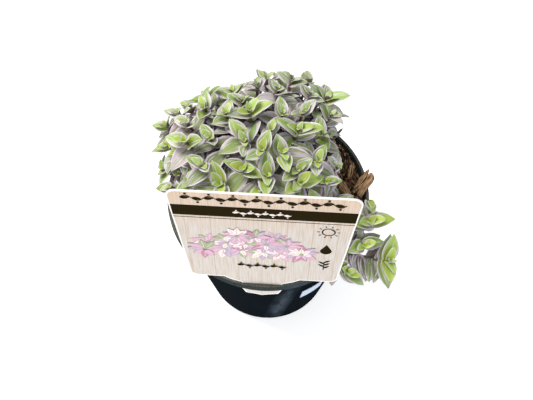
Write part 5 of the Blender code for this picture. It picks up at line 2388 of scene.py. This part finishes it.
class SprayMesh:
    """Gathers the stems and leaves of one spray in one mesh."""

    STEM_SIDES = 6
    SLIMMER = 0.9
    BUD = 0.5
    ROUNDINGS = 2
    CORNER = 0.25
    STRIPE_STEP = 7.3
    PALER_BEHIND = 8.0
    STEM_TINT = (0.8, 0.5, 0.0, 1.0)
    CREASE = radians(80)

    def __init__(self, blank: LeafBlank) -> None:
        """Start empty.

        Args:
            blank: Blank that the leaves are bent from.
        """
        self.blank = blank
        self.verts: list = []
        self.faces: list = []
        self.spots: list = []
        self.tints: list = []
        self.skins: list = []

    def add(self, verts: Sequence, faces: Sequence, spots: Sequence, tint: tuple, skins: Sequence) -> None:
        """Add a piece.

        Args:
            verts: Its vertices.
            faces: Its faces.
            spots: Value of its blade map at each vertex.
            tint: Its tint.
            skins: Material slot of each face.
        """
        start = len(self.verts)
        self.verts += [tuple(v) for v in verts]
        self.faces += [tuple(start + k for k in face) for face in faces]
        self.spots += spots
        self.tints += [tint] * len(verts)
        self.skins += skins

    def add_blade(self, blade: Blade) -> None:
        """Add a leaf.

        Args:
            blade: Blade to follow.
        """
        stripe = (blade.tone * self.STRIPE_STEP) % 1.0 + self.PALER_BEHIND * max(blade.base.y, 0.0)
        tint = (blade.age, blade.tone, stripe, 1.0)
        self.add(self.blank.bend(blade).tolist(), self.blank.faces, self.blank.spots, tint, self.blank.skins)

    def add_stem(self, route: Sequence[Vector]) -> None:
        """Add a stem, with its bends rounded.

        Args:
            route: Its points, from foot to tip.
        """
        points = list(route)
        for _ in range(self.ROUNDINGS):
            rounded = [points[0]]
            for near, far in zip(points, points[1:]):
                rounded += [near * (1 - share) + far * share for share in (self.CORNER, 1 - self.CORNER)]
            points = rounded + [points[-1]]
        self.add_tube(*stem_tube(points, STEM.radius * self.SLIMMER, STEM.bud * self.BUD, self.STEM_SIDES))

    def add_tube(self, verts: Sequence, faces: Sequence) -> None:
        """Add a plain piece of stem."""
        self.add(verts, faces, [(0.0, 0.0)] * len(verts), self.STEM_TINT, [int(Skin.STEM)] * len(faces))

    def build(self, name: str, skins: Sequence[Material]) -> None:
        """Make the mesh and put it in its node's place.

        Args:
            name: Name of the node.
            skins: Finish of each slot.
        """
        spray = piece_from(name + "_leaves", self.verts, self.faces)
        mesh = spray.data
        map_points(mesh, "blade", self.spots)
        tint_points(mesh, self.tints)
        dress(spray, *skins)
        mesh.polygons.foreach_set("material_index", self.skins)
        mesh.shade_smooth()
        mesh.set_sharp_from_angle(angle=self.CREASE)
        place(spray, "leaves", name)


# Stage


@dataclass(frozen=True)
class Studio:
    """Floor, soft lights and the camera of the photograph."""

    distance: float = 0.450
    elevation: float = radians(61.1)
    azimuth: float = radians(3.2)
    roll: float = radians(0.24)
    focal_px: float = 698.5
    rim_px: tuple = (268.2, 192.3)
    frame_px: tuple = (533, 400)
    sensor: float = 36.0
    clip: tuple = (0.02, 10)
    floor_size: float = 6
    sky: tuple = ("#F4F6FA", 0.48)
    lights: tuple = (
        ("key", (-0.45, 0.25, 0.85), 0.5, 8.8, "#FFFBF4"),
        ("fill", (0.55, -0.55, 0.55), 0.6, 2.6, "#EEF3FF"),
        ("front", (-0.25, -0.75, 0.45), 0.4, 2.0, "#FFFFFF"),
    )

    def camera(self) -> None:
        """Set the camera so that the rim's middle lands where the photograph has it."""
        data = bpy.data.cameras.new("photo_camera")
        camera = link("photo_camera", data)
        back = Vector((sin(self.azimuth) * cos(self.elevation),
                       -cos(self.azimuth) * cos(self.elevation),
                       sin(self.elevation)))
        camera.rotation_mode = "QUATERNION"
        camera.location = Vector((0, 0, POT.height)) + back * self.distance
        turn = (-back).to_track_quat("-Z", "Y")
        camera.rotation_quaternion = turn @ Matrix.Rotation(self.roll, 3, "Z").to_quaternion()
        wide, high = self.frame_px
        data.sensor_width = self.sensor
        data.lens = self.focal_px / wide * self.sensor
        data.shift_x = -(self.rim_px[0] - wide / 2) / wide
        data.shift_y = (self.rim_px[1] - high / 2) / wide
        data.clip_start, data.clip_end = self.clip
        bpy.context.scene.camera = camera

    def light(self, name: str, spot: tuple, size: float, power: float, colour: str) -> None:
        """Hang a soft square light that looks at the pot's rim.

        Args:
            name: Name of the light.
            spot: Where it hangs.
            size: Length of its sides.
            power: Its power in watts.
            colour: Its sRGB hex colour.
        """
        data = bpy.data.lights.new(name, "AREA")
        data.size = size
        data.energy = power
        data.color = linear(colour)[:3]
        lamp = link(name, data)
        lamp.location = spot
        aim = Vector((0, 0, POT.height)) - Vector(spot)
        lamp.rotation_mode = "QUATERNION"
        lamp.rotation_quaternion = aim.to_track_quat("-Z", "Y")

    def build(self, floor_finish: Material) -> None:
        """Lay the floor, light the scene and set the camera.

        Args:
            floor_finish: Finish of the floor.
        """
        floor = begin(bpy.ops.mesh.primitive_plane_add, "floor", size=self.floor_size)
        dress(floor, floor_finish)
        world = bpy.data.worlds.new("studio")
        world.use_nodes = True
        sky = world.node_tree.nodes["Background"]
        sky.inputs["Color"].default_value = linear(self.sky[0])
        sky.inputs["Strength"].default_value = self.sky[1]
        bpy.context.scene.world = world
        for light in self.lights:
            self.light(*light)
        bpy.context.scene.view_settings.view_transform = "Standard"
        self.camera()


INKS = {"pink": "#C596AB", "lilac": "#AA93AB", "sage": "#919C72", "cream": "#E4D6D0", "rose": "#AE6C86"}


def main() -> None:
    """Dress every part of the plant and its pot, then set the stage."""
    logging.basicConfig(level=logging.INFO, format="%(message)s")
    bark = BarkFinish().material()
    NurseryPot().build(MouldedPlastic().material())
    PottingMix().build(PeatMix().material(), bark)
    BarkChips().build(bark)
    BarkHeap().build(bark)
    PlantLabel().build(PlankPrint().material(), PlainFinish("white_sheet_edge", "#EAE8E4", 0.35).material())
    inks = [PlainFinish("olive_black_ink", "#261F0F", 0.45, mirror=0.0).material()]
    inks += [PlainFinish(name + "_ink", colour).material() for name, colour in INKS.items()]
    LabelPrint().build(inks)
    WallSticker().build(PlainFinish("coated_sticker_paper", "#AEBDD3", 0.35).material())
    skins = (LeafUpper().material(), LeafUnder().material(), StemSkin().material())
    blank = LeafBlank()
    vine = Vine()
    for name, group, foot in vine.grow():
        spray = SprayMesh(blank)
        spray.add_tube(*vine.crown(foot, 12))
        for shoot in group:
            spray.add_stem(shoot.route)
            for blade in shoot.blades:
                spray.add_blade(blade)
        spray.build(name, skins)
    Studio().build(PlainFinish("pale_floor", "#FCFCFB", 0.8, 0.01, 60.0, 0.45).material())


if __name__ == "__main__":
    main()
